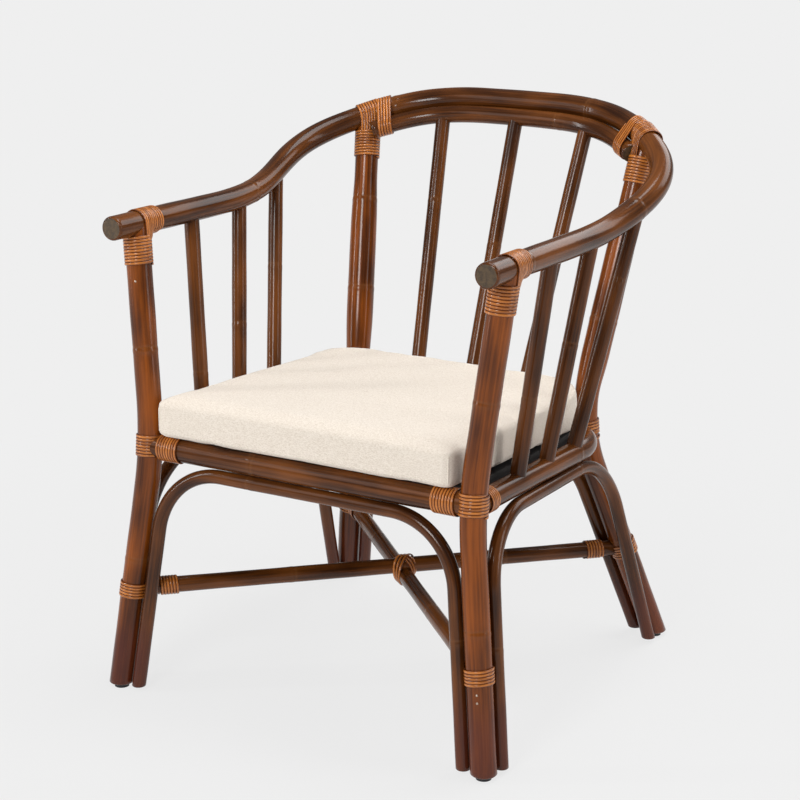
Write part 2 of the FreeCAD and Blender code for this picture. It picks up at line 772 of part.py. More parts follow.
def build_stretcher_bindings():
    """Coils round both ends of each stretcher, clear of the arch legs."""
    solids = []
    distance = 2 * bound_post_radius + coil_length(TURNS["stretcher"]) / 2
    for front_side, rear_side, height in stretchers.values():
        front, rear = stretcher_axis(front_side, rear_side, height)
        for start, end in ((front, rear), (rear, front)):
            solids.append(winding("stretcher_bindings", start + unit(end - start) * distance, end - start, UP,
                                  around(size("stretcher_radius")), TURNS["stretcher"]))
    return solids


def build_crossing_binding():
    """Lashing over the stretchers' crossing: one winding on each diagonal, the second over the first."""
    upper = stretcher_axis(*stretchers["long_stretcher"])
    lower = stretcher_axis(*stretchers["cross_stretcher"])
    upper_run = unit(upper[1] - upper[0])
    lower_run = unit(lower[1] - lower[0])
    offset = lower[0] - upper[0]
    along_upper = (offset.x * lower_run.y - offset.y * lower_run.x) / (
        upper_run.x * lower_run.y - upper_run.y * lower_run.x)
    crossing = upper[0] + upper_run * along_upper
    centre = Vector(crossing.x, crossing.y, (upper[0].z + lower[0].z) / 2)
    half_gap = (upper[0].z - lower[0].z) / 2
    wide = size("stretcher_radius") / math.sin(upper_run.getAngle(lower_run) / 2)
    solids = []
    for layer, axis in enumerate((unit(upper_run + lower_run), unit(upper_run - lower_run))):
        lift = layer * (size("strip_diameter") + clear)
        aside = wide + size("strip_pitch") * TURNS["crossing"] / 2
        reach = max(half_gap + size("stretcher_radius"), math.hypot(aside, half_gap)) + lift
        solids.append(winding("crossing_binding", centre, axis, UP, around(reach), TURNS["crossing"]))
    return solids


for name, builder in (("arm_bindings", build_arm_bindings), ("crest_bindings", build_crest_bindings),
                      ("front_seat_bindings", build_front_seat_bindings),
                      ("rear_seat_bindings", build_rear_seat_bindings), ("leg_bindings", build_leg_bindings),
                      ("stretcher_bindings", build_stretcher_bindings),
                      ("crossing_binding", build_crossing_binding)):
    keep(name, Part.makeCompound(builder()))

# Set the origin on the floor under the middle of the chair's box
doc.recompute()
box = FreeCAD.BoundBox()
for part in sub_parts:
    box.add(part.Shape.optimalBoundingBox(True))
shift = Placement(Vector(-box.Center.x, -box.Center.y, -box.ZMin), Rotation())
for part in sub_parts:
    part.Placement = shift.multiply(part.Placement)
doc.recompute()

# Check everything, then write one file for each sub-part
for item in doc.Objects:
    if "Invalid" in item.State or "Error" in item.State:
        raise RuntimeError("%s failed: %s" % (item.Label, item.State))
for part in sub_parts:
    if part.Shape.isNull() or not part.Shape.isValid():
        raise RuntimeError("%s has no valid shape" % part.Label)
print("box", box.XLength, box.YLength, box.ZLength)
print("shift", shift.Base)
for name, gap in least_gaps.items():
    print("least gap of %s to itself: %.2f mm" % (name, gap))
os.makedirs("parts", exist_ok=True)
for part in sub_parts:
    part.Shape.exportStep("parts/%s.step" % part.Label)
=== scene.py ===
"""Looks of a barrel-back rattan armchair, in metres with +Z up.

Lacquered poles, wound bindings of peel, a linen box cushion and the room that they are seen in.
"""

import logging
import math
from dataclasses import dataclass, field
from enum import Enum
from typing import Any, Optional, Sequence, Union

import bpy
import numpy as np
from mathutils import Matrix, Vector


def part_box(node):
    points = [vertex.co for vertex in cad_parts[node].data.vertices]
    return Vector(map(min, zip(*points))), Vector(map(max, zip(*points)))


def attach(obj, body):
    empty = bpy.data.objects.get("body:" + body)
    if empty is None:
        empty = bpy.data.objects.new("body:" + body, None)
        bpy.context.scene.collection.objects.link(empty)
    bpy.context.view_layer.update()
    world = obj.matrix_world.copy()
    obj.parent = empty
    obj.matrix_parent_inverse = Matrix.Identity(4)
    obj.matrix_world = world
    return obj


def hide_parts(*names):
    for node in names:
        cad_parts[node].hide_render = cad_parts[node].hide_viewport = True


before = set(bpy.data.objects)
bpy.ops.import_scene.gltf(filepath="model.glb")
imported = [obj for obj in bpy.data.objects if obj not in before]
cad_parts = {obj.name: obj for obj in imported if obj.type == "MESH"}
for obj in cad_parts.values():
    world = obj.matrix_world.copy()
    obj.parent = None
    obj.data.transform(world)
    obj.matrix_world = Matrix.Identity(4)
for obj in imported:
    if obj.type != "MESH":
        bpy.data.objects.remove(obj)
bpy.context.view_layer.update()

MM = 0.001
UP = np.array([0.0, 0.0, 1.0])
ACROSS = np.array([1.0, 0.0, 0.0])
DEPTH = np.array([0.0, 1.0, 0.0])
log = logging.getLogger("rattan_armchair")
Array = np.ndarray
Pair = tuple[float, float]
Triple = tuple[float, float, float]
Colour = tuple[float, float, float, float]


class Body(Enum):
    """The two rigid bodies that a piece can move with."""

    FRAME = "frame"
    CUSHION = "cushion"


class Slot(Enum):
    """The record's material slots."""

    POLE = "rattan_pole"
    PEEL = "rattan_peel"
    LINEN = "cushion_linen"
    GLIDE = "glide_rubber"


class EndCut(Enum):
    """How a pole ends: hidden in another pole, cut level with the floor, or sawn with a round rim."""

    HIDDEN = 0
    LEVEL = 1
    ROUNDED = 2


# Arithmetic on arrays of points

def unit(vectors: Array) -> Array:
    """Return the same directions with length one."""
    return vectors / np.linalg.norm(vectors, axis=-1, keepdims=True)


def mirrored(points: Array) -> Array:
    """Return points on the chair's other side."""
    return points * np.array([-1.0, 1.0, 1.0])


def on_side(points: Array, side: int) -> Array:
    """Return right-hand points as they are on the given side, +1 right or -1 left."""
    return points * np.array([float(side), 1.0, 1.0])


def both_sides(right: Array) -> Array:
    """Return a right-hand run with its mirror image joined on."""
    return np.concatenate([right, mirrored(right)[::-1]])


def circle(angle: Array) -> Array:
    """Return points of a plane circle of radius one."""
    return np.stack([np.cos(angle), np.sin(angle)], axis=-1)


def shorter_run(corners: Array, index: int) -> float:
    """Return the length of the shorter of the two runs that meet at a corner."""
    before, after = corners[index - 1] - corners[index], corners[index + 1] - corners[index]
    return float(min(np.linalg.norm(before), np.linalg.norm(after)))


def bend_middle(corners: Array, share: float) -> Array:
    """Find the middle of the arc that rounds the second of three corners.

    The arc's tangent length is a share of the shorter run. Its middle lies on the bisector, at the tangent
    length times the tangent of a quarter of the turn.

    Args:
        corners: three points, one to a row.
        share: tangent length over the shorter run.

    Returns:
        The arc's middle point.
    """
    before, after = corners[0] - corners[1], corners[2] - corners[1]
    tangent = share * shorter_run(corners, 1)
    turn = math.pi - math.acos(float(unit(before) @ unit(after)))
    return corners[1] + unit(unit(before) + unit(after)) * tangent * math.tan(turn / 4)


def passing_through(corners: Array, share: float) -> Array:
    """Move the second of three corners out until the bend itself passes through its old place.

    Args:
        corners: three points, one to a row.
        share: tangent length over the shorter run.

    Returns:
        The three points with the second one moved.
    """
    moved = corners.copy()
    for _ in range(4):
        moved[1] += corners[1] - bend_middle(moved, share)
    return moved


def bent_path(corners: Array, shares: Sequence[float], arc_points: int = 25) -> Array:
    """Round a run of straight lines with tangent arcs.

    Each arc is centre + radius x (-bisector x cos + chord x sin) over plus and minus half the turn.

    Args:
        corners: the run's corner points, one to a row.
        shares: each inner corner's tangent length over its shorter run.
        arc_points: points on each arc.

    Returns:
        Points along the rounded run.
    """
    pieces = [corners[:1]]
    for index, share in enumerate(shares, start=1):
        before, after = corners[index - 1] - corners[index], corners[index + 1] - corners[index]
        tangent = share * shorter_run(corners, index)
        bisector, chord = unit(unit(before) + unit(after)), unit(unit(after) - unit(before))
        half = (math.pi - math.acos(float(unit(before) @ unit(after)))) / 2
        radius = tangent / math.tan(half)
        centre = corners[index] + bisector * radius / math.cos(half)
        sweep = np.linspace(-half, half, arc_points)[:, None]
        pieces.append(centre + radius * (chord * np.sin(sweep) - bisector * np.cos(sweep)))
    pieces.append(corners[-1:])
    return np.concatenate(pieces)


def lengths_along(path: Array) -> Array:
    """Return the length of a path up to each of its points."""
    return np.concatenate([[0.0], np.cumsum(np.linalg.norm(np.diff(path, axis=0), axis=1))])


def eased(path: Array, spread: float, step: float = 4 * MM) -> Array:
    """Smooth a path as a bent pole springs: an average of its points weighted by a bell curve.

    The path is first drawn out straight at both ends, so that its ends stay in place.

    Args:
        path: points along the path.
        spread: standard width of the bell curve.
        step: distance between the points that are averaged.

    Returns:
        The smoothed path in even steps.
    """
    total = lengths_along(path)[-1]
    even = point_at(path, np.linspace(0.0, total, round(total / step) + 1))
    margin = round(4 * spread / step)
    count = np.arange(margin, 0, -1)[:, None]
    before = even[0] - (even[1] - even[0]) * count
    after = even[-1] + (even[-1] - even[-2]) * count[::-1]
    drawn = np.concatenate([before, even, after])
    bell = np.exp(-0.5 * (np.arange(-margin, margin + 1) * step / spread) ** 2)
    return np.stack([np.convolve(drawn[:, axis], bell / bell.sum(), "valid") for axis in range(3)], axis=1)


def point_at(path: Array, distance: Union[float, Array]) -> Array:
    """Return the points at given distances along a path."""
    reach = lengths_along(path)
    return np.stack([np.interp(distance, reach, path[:, axis]) for axis in range(3)], axis=-1)


def direction_at(path: Array, distance: float, span: float = 2 * MM) -> Array:
    """Return a path's direction at a distance, taken over a short span."""
    return unit(point_at(path, distance + span) - point_at(path, distance - span))


def at_height(line: Array, height: float) -> Array:
    """Return the point where a straight line through two points reaches a height."""
    return line[0] + (line[1] - line[0]) * (height - line[0][2]) / (line[1][2] - line[0][2])


def soft_step(value: Array, low: float, high: float) -> Array:
    """Return 0 below the first limit, 1 above the second and a smooth rise between them."""
    share = np.clip((value - low) / (high - low), 0.0, 1.0)
    return share * share * (3 - 2 * share)


def beside(direction: Array, towards: Array, distance: float) -> Array:
    """Return the sideways shift that sets two parallel poles a distance apart, axis to axis."""
    slant = float(unit(direction) @ unit(towards))
    return unit(towards) * distance / math.sqrt(1 - slant * slant)


# Meshes from grids of points

@dataclass
class Patch:
    """A grid of points that is closed across its columns, with what a finish reads at each point."""

    points: Array
    grain: Array
    ring: Array

    @classmethod
    def plain(cls, points: Array) -> "Patch":
        """Return a grid without grain and rings."""
        return cls(points, np.zeros_like(points), np.zeros(points.shape[:2]))

    def quads(self, first: int) -> Array:
        """Return the grid's four-cornered faces, numbered from a first vertex, facing outwards."""
        rows, columns = self.points.shape[:2]
        row, column = np.meshgrid(np.arange(rows - 1), np.arange(columns), indexing="ij")
        following = (column + 1) % columns
        corners = [row * columns + column, (row + 1) * columns + column,
                   (row + 1) * columns + following, row * columns + following]
        return first + np.stack(corners, axis=-1).reshape(-1, 4)

    def caps(self, first: int) -> list[list[int]]:
        """Return the two end faces."""
        rows, columns = self.points.shape[:2]
        last = first + (rows - 1) * columns
        return [list(range(first, first + columns)), list(range(last + columns - 1, last - 1, -1))]


def mesh_piece(name: str, patches: Sequence[Patch],
               materials: Sequence[bpy.types.Material]) -> bpy.types.Object:
    """Make one object of several grids, with the attributes grain and ring on its points.

    Args:
        name: the piece's name.
        patches: the grids.
        materials: the finish of the sides and, if there is a second one, of the end faces.

    Returns:
        The linked object.
    """
    vertices, faces, caps = [], [], []
    first = 0
    for patch in patches:
        vertices.append(patch.points.reshape(-1, 3))
        faces.extend(patch.quads(first).tolist())
        caps.extend(patch.caps(first))
        first += patch.points.shape[0] * patch.points.shape[1]
    mesh = bpy.data.meshes.new(name)
    mesh.from_pydata(np.concatenate(vertices).tolist(), [], faces + caps)
    grain = np.concatenate([patch.grain.reshape(-1) for patch in patches])
    ring = np.concatenate([patch.ring.reshape(-1) for patch in patches])
    kinds = (("grain", "FLOAT_VECTOR", "vector", grain), ("ring", "FLOAT", "value", ring))
    for label, kind, key, values in kinds:
        attribute = mesh.attributes.new(label, kind, "POINT")
        attribute.data.foreach_set(key, values.astype(np.float32))
    for material in materials:
        mesh.materials.append(material)
    smooth = np.ones(len(faces) + len(caps), dtype=bool)
    smooth[len(faces):] = False
    mesh.polygons.foreach_set("use_smooth", smooth)
    finish = np.zeros(len(smooth), dtype=np.int32)
    finish[len(faces):] = len(materials) - 1
    mesh.polygons.foreach_set("material_index", finish)
    mesh.update()
    piece = bpy.data.objects.new(name, mesh)
    bpy.context.scene.collection.objects.link(piece)
    return piece


def seat_piece(piece: bpy.types.Object, body: Body, nodes: Sequence[str]) -> None:
    """Join a finished piece to its body and the solids that it stands for."""
    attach(piece, body.value)
    if nodes:
        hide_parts(*nodes)
    log.info("%s: %d faces on %s", piece.name, len(piece.data.polygons), body.value)


# Shader nodes as expressions

class Signal:
    """A shader socket on which plain arithmetic adds Math nodes."""

    def __init__(self, shader: "Shader", socket: Optional[bpy.types.NodeSocket]) -> None:
        """Keep the socket and the shader that it belongs to."""
        self.shader = shader
        self.socket = socket

    def __add__(self, other: Any) -> "Signal":
        """Add a number or a signal."""
        return self.shader.math("ADD", self, other)

    def __sub__(self, other: Any) -> "Signal":
        """Take away a number or a signal."""
        return self.shader.math("SUBTRACT", self, other)

    def __rsub__(self, other: Any) -> "Signal":
        """Take this signal from a number."""
        return self.shader.math("SUBTRACT", other, self)

    def __mul__(self, other: Any) -> "Signal":
        """Multiply by a number or a signal."""
        return self.shader.math("MULTIPLY", self, other)

    __radd__ = __add__
    __rmul__ = __mul__


class Shader:
    """One material's nodes, each made by the method node."""

    def __init__(self, name: str) -> None:
        """Make an empty material."""
        self.material = bpy.data.materials.new(name)
        self.material.use_nodes = True
        self.tree = self.material.node_tree
        self.tree.nodes.clear()

    def node(self, kind: str, settings: dict[str, Any], inputs: dict[Any, Any], output: Any = 0) -> Signal:
        """Add a node.

        Args:
            kind: the node's type.
            settings: its properties, set before its sockets.
            inputs: values or signals by socket name or number.
            output: name or number of the socket to return.

        Returns:
            The chosen output as a signal, which is empty for a node without outputs.
        """
        made = self.tree.nodes.new(kind)
        for key, value in settings.items():
            setattr(made, key, value)
        for key, value in inputs.items():
            if isinstance(value, Signal):
                self.tree.links.new(value.socket, made.inputs[key])
            else:
                made.inputs[key].default_value = value
        return Signal(self, made.outputs[output] if made.outputs else None)

    def math(self, operation: str, first: Any, second: Any) -> Signal:
        """Add a Math node that clamps nothing."""
        return self.node("ShaderNodeMath", {"operation": operation}, {0: first, 1: second})

    def stretch(self, vector: Signal, factors: Triple) -> Signal:
        """Scale a vector by three factors."""
        return self.node("ShaderNodeVectorMath", {"operation": "MULTIPLY"}, {0: vector, 1: factors})

    def noise(self, vector: Signal, factors: Triple, detail: float = 3.0) -> Signal:
        """Return soft noise from 0 to 1 on a stretched vector."""
        return self.node("ShaderNodeTexNoise", {}, {"Vector": self.stretch(vector, factors), "Scale": 1.0,
                                                    "Detail": detail}, "Fac")

    def steps(self, value: Signal, low: float, high: float) -> Signal:
        """Spread a value between two limits over 0 to 1, and hold it there."""
        return self.node("ShaderNodeMapRange", {"interpolation_type": "SMOOTHSTEP"},
                         {"Value": value, "From Min": low, "From Max": high})

    def blend(self, factor: Any, first: Any, second: Any) -> Signal:
        """Mix two colours."""
        return self.node("ShaderNodeMix", {"data_type": "RGBA"}, {0: factor, 6: first, 7: second}, 2)

    def attribute(self, name: str, output: str) -> Signal:
        """Read one of the mesh's own attributes."""
        return self.node("ShaderNodeAttribute", {"attribute_name": name}, {}, output)

    def bump(self, height: Signal, strength: float, distance: float) -> Signal:
        """Return a bumped normal."""
        return self.node("ShaderNodeBump", {}, {"Height": height, "Strength": strength, "Distance": distance})

    def place(self) -> Signal:
        """Return the piece's own coordinates."""
        return self.node("ShaderNodeTexCoord", {}, {}, "Object")

    def close(self, surface: Signal) -> bpy.types.Material:
        """Join a surface to the output and return the material."""
        self.node("ShaderNodeOutputMaterial", {}, {"Surface": surface})
        return self.material

    def principled(self, inputs: dict[str, Any]) -> bpy.types.Material:
        """Make a Principled surface and return the material that it closes."""
        return self.close(self.node("ShaderNodeBsdfPrincipled", {}, inputs, "BSDF"))



@dataclass(frozen=True)
class PoleFinish:
    """Stained and lacquered rattan pole: dark streaks along the grain, paler node rings, and a darker, redder
    colour towards the floor.
    """

    name: str = "rattan_pole"
    dark: Colour = (0.052, 0.0120, 0.0020, 1.0)
    warm: Colour = (0.310, 0.076, 0.0070, 1.0)
    ring: Colour = (0.200, 0.075, 0.022, 1.0)
    foot: Colour = (0.105, 0.022, 0.0140, 1.0)
    streak_scale: Triple = (300.0, 300.0, 7.0)
    blotch_scale: Triple = (34.0, 34.0, 9.0)
    tone_limits: Pair = (0.34, 0.78)
    foot_limits: Pair = (0.05, 0.13)
    foot_share: float = 0.6
    ring_share: float = 0.35
    roughness: float = 0.26
    specular: float = 0.02
    coat: float = 0.58
    coat_roughness: float = 0.16

    def material(self) -> bpy.types.Material:
        """Build the finish; streaks and blotches are noise stretched along the pole."""
        shader = Shader(self.name)
        grain = shader.attribute("grain", "Vector")
        streak = shader.noise(grain, self.streak_scale, 4.0)
        blotch = shader.noise(grain, self.blotch_scale, 2.0)
        tone = shader.steps(streak * 0.42 + blotch * 0.68, *self.tone_limits)
        body = shader.blend(tone, self.dark, self.warm)
        # Darker and redder towards the floor, blended in by height.
        height = shader.node("ShaderNodeSeparateXYZ", {}, {0: shader.place()}, 2)
        low = 1.0 - shader.steps(height, *self.foot_limits)
        foot_toned = shader.blend(low * self.foot_share, body, self.foot)
        rings = shader.attribute("ring", "Fac")
        return shader.principled({
            "Base Color": shader.blend(rings * self.ring_share, foot_toned, self.ring),
            "Roughness": streak * 0.16 + (self.roughness - 0.08), "Specular IOR Level": self.specular,
            "Coat Weight": self.coat, "Coat Roughness": self.coat_roughness,
            "Normal": shader.bump(streak, 0.12, 0.4 * MM)})


@dataclass(frozen=True)
class PeelFinish:
    """Honey-coloured rattan peel with a fine grain along each strip."""

    dark: Colour = (0.170, 0.043, 0.0070, 1.0)
    light: Colour = (0.620, 0.205, 0.0330, 1.0)
    fibre_scale: Triple = (40.0, 1900.0, 1900.0)
    length_scale: Triple = (28.0, 60.0, 60.0)
    tone_limits: Pair = (0.20, 0.74)
    roughness: float = 0.24
    specular: float = 0.35
    coat: float = 0.25
    coat_roughness: float = 0.12

    def material(self) -> bpy.types.Material:
        """Build the finish; the grain's first axis runs along the strip, and its edges are darkened as
        painted shade in the gaps between neighbouring strips.
        """
        shader = Shader("rattan_peel")
        grain = shader.attribute("grain", "Vector")
        fibre = shader.noise(grain, self.fibre_scale, 3.0)
        length = shader.noise(grain, self.length_scale, 2.0)
        # The ring attribute holds each strip's nearness to its edge; the darkening it drives is painted shade
        # between strips.
        edge = shader.attribute("ring", "Fac")
        tone = shader.steps(fibre * 0.5 + length * 0.7 - edge * 0.75, *self.tone_limits)
        return shader.principled({
            "Base Color": shader.blend(tone, self.dark, self.light), "Roughness": self.roughness,
            "Specular IOR Level": self.specular, "Coat Weight": self.coat,
            "Coat Roughness": self.coat_roughness, "Normal": shader.bump(fibre, 0.25, 0.3 * MM)})


@dataclass(frozen=True)
class EndGrainFinish:
    """Sawn end of a pole: olive brown, pricked all over with pores."""

    dark: Colour = (0.035, 0.019, 0.008, 1.0)
    light: Colour = (0.110, 0.066, 0.027, 1.0)
    pore_scale: Triple = (1500.0, 1500.0, 1500.0)
    cloud_scale: Triple = (160.0, 160.0, 160.0)
    tone_limits: Pair = (0.38, 0.72)
    roughness: float = 0.5

    def material(self) -> bpy.types.Material:
        """Build the finish from two sizes of noise on the piece's own coordinates."""
        shader = Shader("pole_end_grain")
        place = shader.place()
        pores = shader.noise(place, self.pore_scale, 2.0)
        cloud = shader.noise(place, self.cloud_scale, 2.0)
        tone = shader.steps(pores * 0.6 + cloud * 0.5, *self.tone_limits)
        return shader.principled({
            "Base Color": shader.blend(tone, self.dark, self.light), "Roughness": self.roughness,
            "Normal": shader.bump(pores, 0.3, 0.4 * MM)})


@dataclass(frozen=True)
class LinenFinish:
    """Cream linen: slubby threads both ways, matt with a little sheen."""

    shade: Colour = (0.680, 0.588, 0.485, 1.0)
    light: Colour = (0.890, 0.810, 0.715, 1.0)
    weft_scale: Triple = (330.0, 1400.0, 1400.0)
    warp_scale: Triple = (1400.0, 330.0, 1400.0)
    tone_limits: Pair = (0.34, 0.62)
    roughness: float = 0.92
    sheen: float = 0.15

    def material(self) -> bpy.types.Material:
        """Build the finish from noise drawn out along X and along Y, which reads as crossing threads."""
        shader = Shader("cushion_linen")
        place = shader.place()
        weft = shader.noise(place, self.weft_scale, 2.0)
        warp = shader.noise(place, self.warp_scale, 2.0)
        threads = weft * 0.5 + warp * 0.5
        tone = shader.steps(threads, *self.tone_limits)
        return shader.principled({
            "Base Color": shader.blend(tone, self.shade, self.light), "Roughness": self.roughness,
            "Sheen Weight": self.sheen, "Normal": shader.bump(threads, 0.35, 0.5 * MM)})


@dataclass(frozen=True)
class PlainFinish:
    """A finish of one colour, such as the rubber glides and the nail heads."""

    name: str
    colour: Colour
    roughness: float
    metallic: float = 0.0

    def material(self) -> bpy.types.Material:
        """Build the finish."""
        return Shader(self.name).principled({
            "Base Color": self.colour, "Roughness": self.roughness, "Metallic": self.metallic})


# Where the poles run

@dataclass
class Layout:
    """Driving sizes in millimetres, and the right-hand points that follow from them in metres.

    The sizes are those of the solids. Only the rails' spring, the three fullnesses and the arches' lowering
    belong to the looks: the photograph shows smoother rails and fuller poles round the seat.
    """

    post_radius: float = 17.0
    arm_radius: float = 16.5
    inner_rail_radius: float = 12.5
    spindle_radius: float = 10.5
    front_rail_radius: float = 14.5
    hoop_radius: float = 13.0
    arch_radius: float = 8.5
    stretcher_radius: float = 11.0
    slat_radius: float = 8.0
    front_foot: Triple = (286.0, -277.0, 0.0)
    front_seat: Triple = (249.0, -243.0, 345.0)
    rear_foot: Triple = (267.0, 277.0, 0.0)
    hoop_corner: Pair = (240.0, 128.0)
    hoop_bow: Triple = (110.0, 182.0, 332.0)
    arm_end: Triple = (279.0, -272.0, 641.0)
    arm_rise: Triple = (275.0, 72.0, 636.0)
    arm_corner: Triple = (310.0, 205.0, 693.0)
    crest_corner: Triple = (160.0, 345.0, 754.0)
    arm_overhang: float = 52.0
    inner_rail_drop: float = 20.0
    side_top_first: float = 172.0
    side_top_pitch: float = 114.0
    side_foot_first: float = 118.0
    side_foot_pitch: float = 83.0
    back_top_pitch: float = 118.0
    back_foot_pitch: float = 86.0
    long_stretcher_height: float = 142.0
    crossing_offset: float = 12.0
    glide_height: float = 6.0
    strip_diameter: float = 3.2
    strip_pitch: float = 4.2
    binding_gap: float = 1.6
    clearance: float = 0.3
    post_bend_share: float = 0.2
    arm_bend_shares: Triple = (0.47, 0.46, 0.37)
    hoop_bend_shares: Pair = (0.46, 0.5)
    arch_bend_share: float = 0.27
    rear_post_hoop_share: float = 0.48
    rear_post_crest_share: float = 0.55
    side_arch_front_angle: float = 20.0
    side_arch_rear_angle: float = 8.0
    rail_spring: float = 40.0
    hoop_fullness: float = 2.0
    front_rail_fullness: float = 1.2
    arch_fullness: float = 1.0
    arch_lowering: float = 4.0
    set_back: Array = field(default_factory=lambda: np.zeros(3))

    def __post_init__(self) -> None:
        """Work out the paths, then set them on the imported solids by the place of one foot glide."""
        leg = self.front_line()[:2]
        low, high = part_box("glide_front_right")
        middle = (np.array(low) + np.array(high)) / 2
        foot = at_height(leg, self.glide_height * MM)
        self.set_back = np.array([0.0, middle[1] - foot[1], 0.0])

    def at(self, place: Sequence[float]) -> Array:
        """Return a point given in millimetres as a place in the shared frame."""
        return np.array(place) * MM + self.set_back

    def bound_post(self) -> float:
        """Return the radius of a post with its binding."""
        return (self.post_radius + self.strip_diameter + 2 * self.clearance) * MM

    def arm_corners(self) -> Array:
        """Return the right-hand half of the arm rail's corners."""
        places = (self.arm_end, self.arm_rise, self.arm_corner, self.crest_corner)
        return np.stack([self.at(place) for place in places])

    def arm_path(self) -> Array:
        """Return the arm rail's axis from the right arm's end to the left one's."""
        shares = self.arm_bend_shares + self.arm_bend_shares[::-1]
        return eased(bent_path(both_sides(self.arm_corners()), shares), self.rail_spring * MM)

    def rear_top(self) -> Array:
        """Return the place on the crest where a rear post's axis ends."""
        corners = self.arm_corners()
        return corners[2] + (corners[3] - corners[2]) * self.rear_post_crest_share

    def hoop_corners(self) -> Array:
        """Return the right-hand half of the seat hoop's corners; the hoop falls evenly towards the rear."""
        front, bow = np.array(self.front_seat), np.array(self.hoop_bow)
        share = (self.hoop_corner[1] - front[1]) / (bow[1] - front[1])
        corner = (*self.hoop_corner, front[2] + (bow[2] - front[2]) * share)
        return np.stack([self.at(place) for place in (front, corner, bow)])

    def hoop_path(self) -> Array:
        """Return the seat hoop's axis from its right front end to its left one."""
        shares = self.hoop_bend_shares + self.hoop_bend_shares[::-1]
        return bent_path(both_sides(self.hoop_corners()), shares)

    def rear_seat(self) -> Array:
        """Return the place where a rear post's bend passes behind the hoop."""
        _, corner, bow = self.hoop_corners()
        touch = corner + (bow - corner) * self.rear_post_hoop_share
        return touch + unit(np.cross(bow - corner, UP)) * (self.hoop_radius * MM + self.bound_post())

    def front_line(self) -> Array:
        """Return the right front post's three corners."""
        top = point_at(self.arm_path(), self.arm_overhang * MM)
        return passing_through(np.stack([self.at(self.front_foot), self.at(self.front_seat), top]),
                               self.post_bend_share)

    def rear_line(self) -> Array:
        """Return the right rear post's three corners."""
        return passing_through(np.stack([self.at(self.rear_foot), self.rear_seat(), self.rear_top()]),
                               self.post_bend_share)

    def inner_path(self) -> Array:
        """Return the inner back rail's axis, before and under the crest by one contact distance."""
        drop = self.inner_rail_drop * MM
        contact = (self.arm_radius + self.inner_rail_radius + 2 * self.clearance) * MM
        set_in = math.sqrt(contact ** 2 - drop ** 2)
        corners = self.arm_corners()
        run = unit((corners[3] - corners[2]) * np.array([1.0, 1.0, 0.0]))
        run_normal = np.array([-run[1], run[0], 0.0])
        mitre = (run_normal - DEPTH) * set_in / (1 - float(run_normal @ DEPTH))
        right = np.stack([self.rear_top() + run_normal * set_in, corners[3] + mitre]) - UP * drop
        share = self.arm_bend_shares[2] / (1 - self.rear_post_crest_share)
        return eased(bent_path(both_sides(right), (share, share)), self.rail_spring * MM)


# Poles

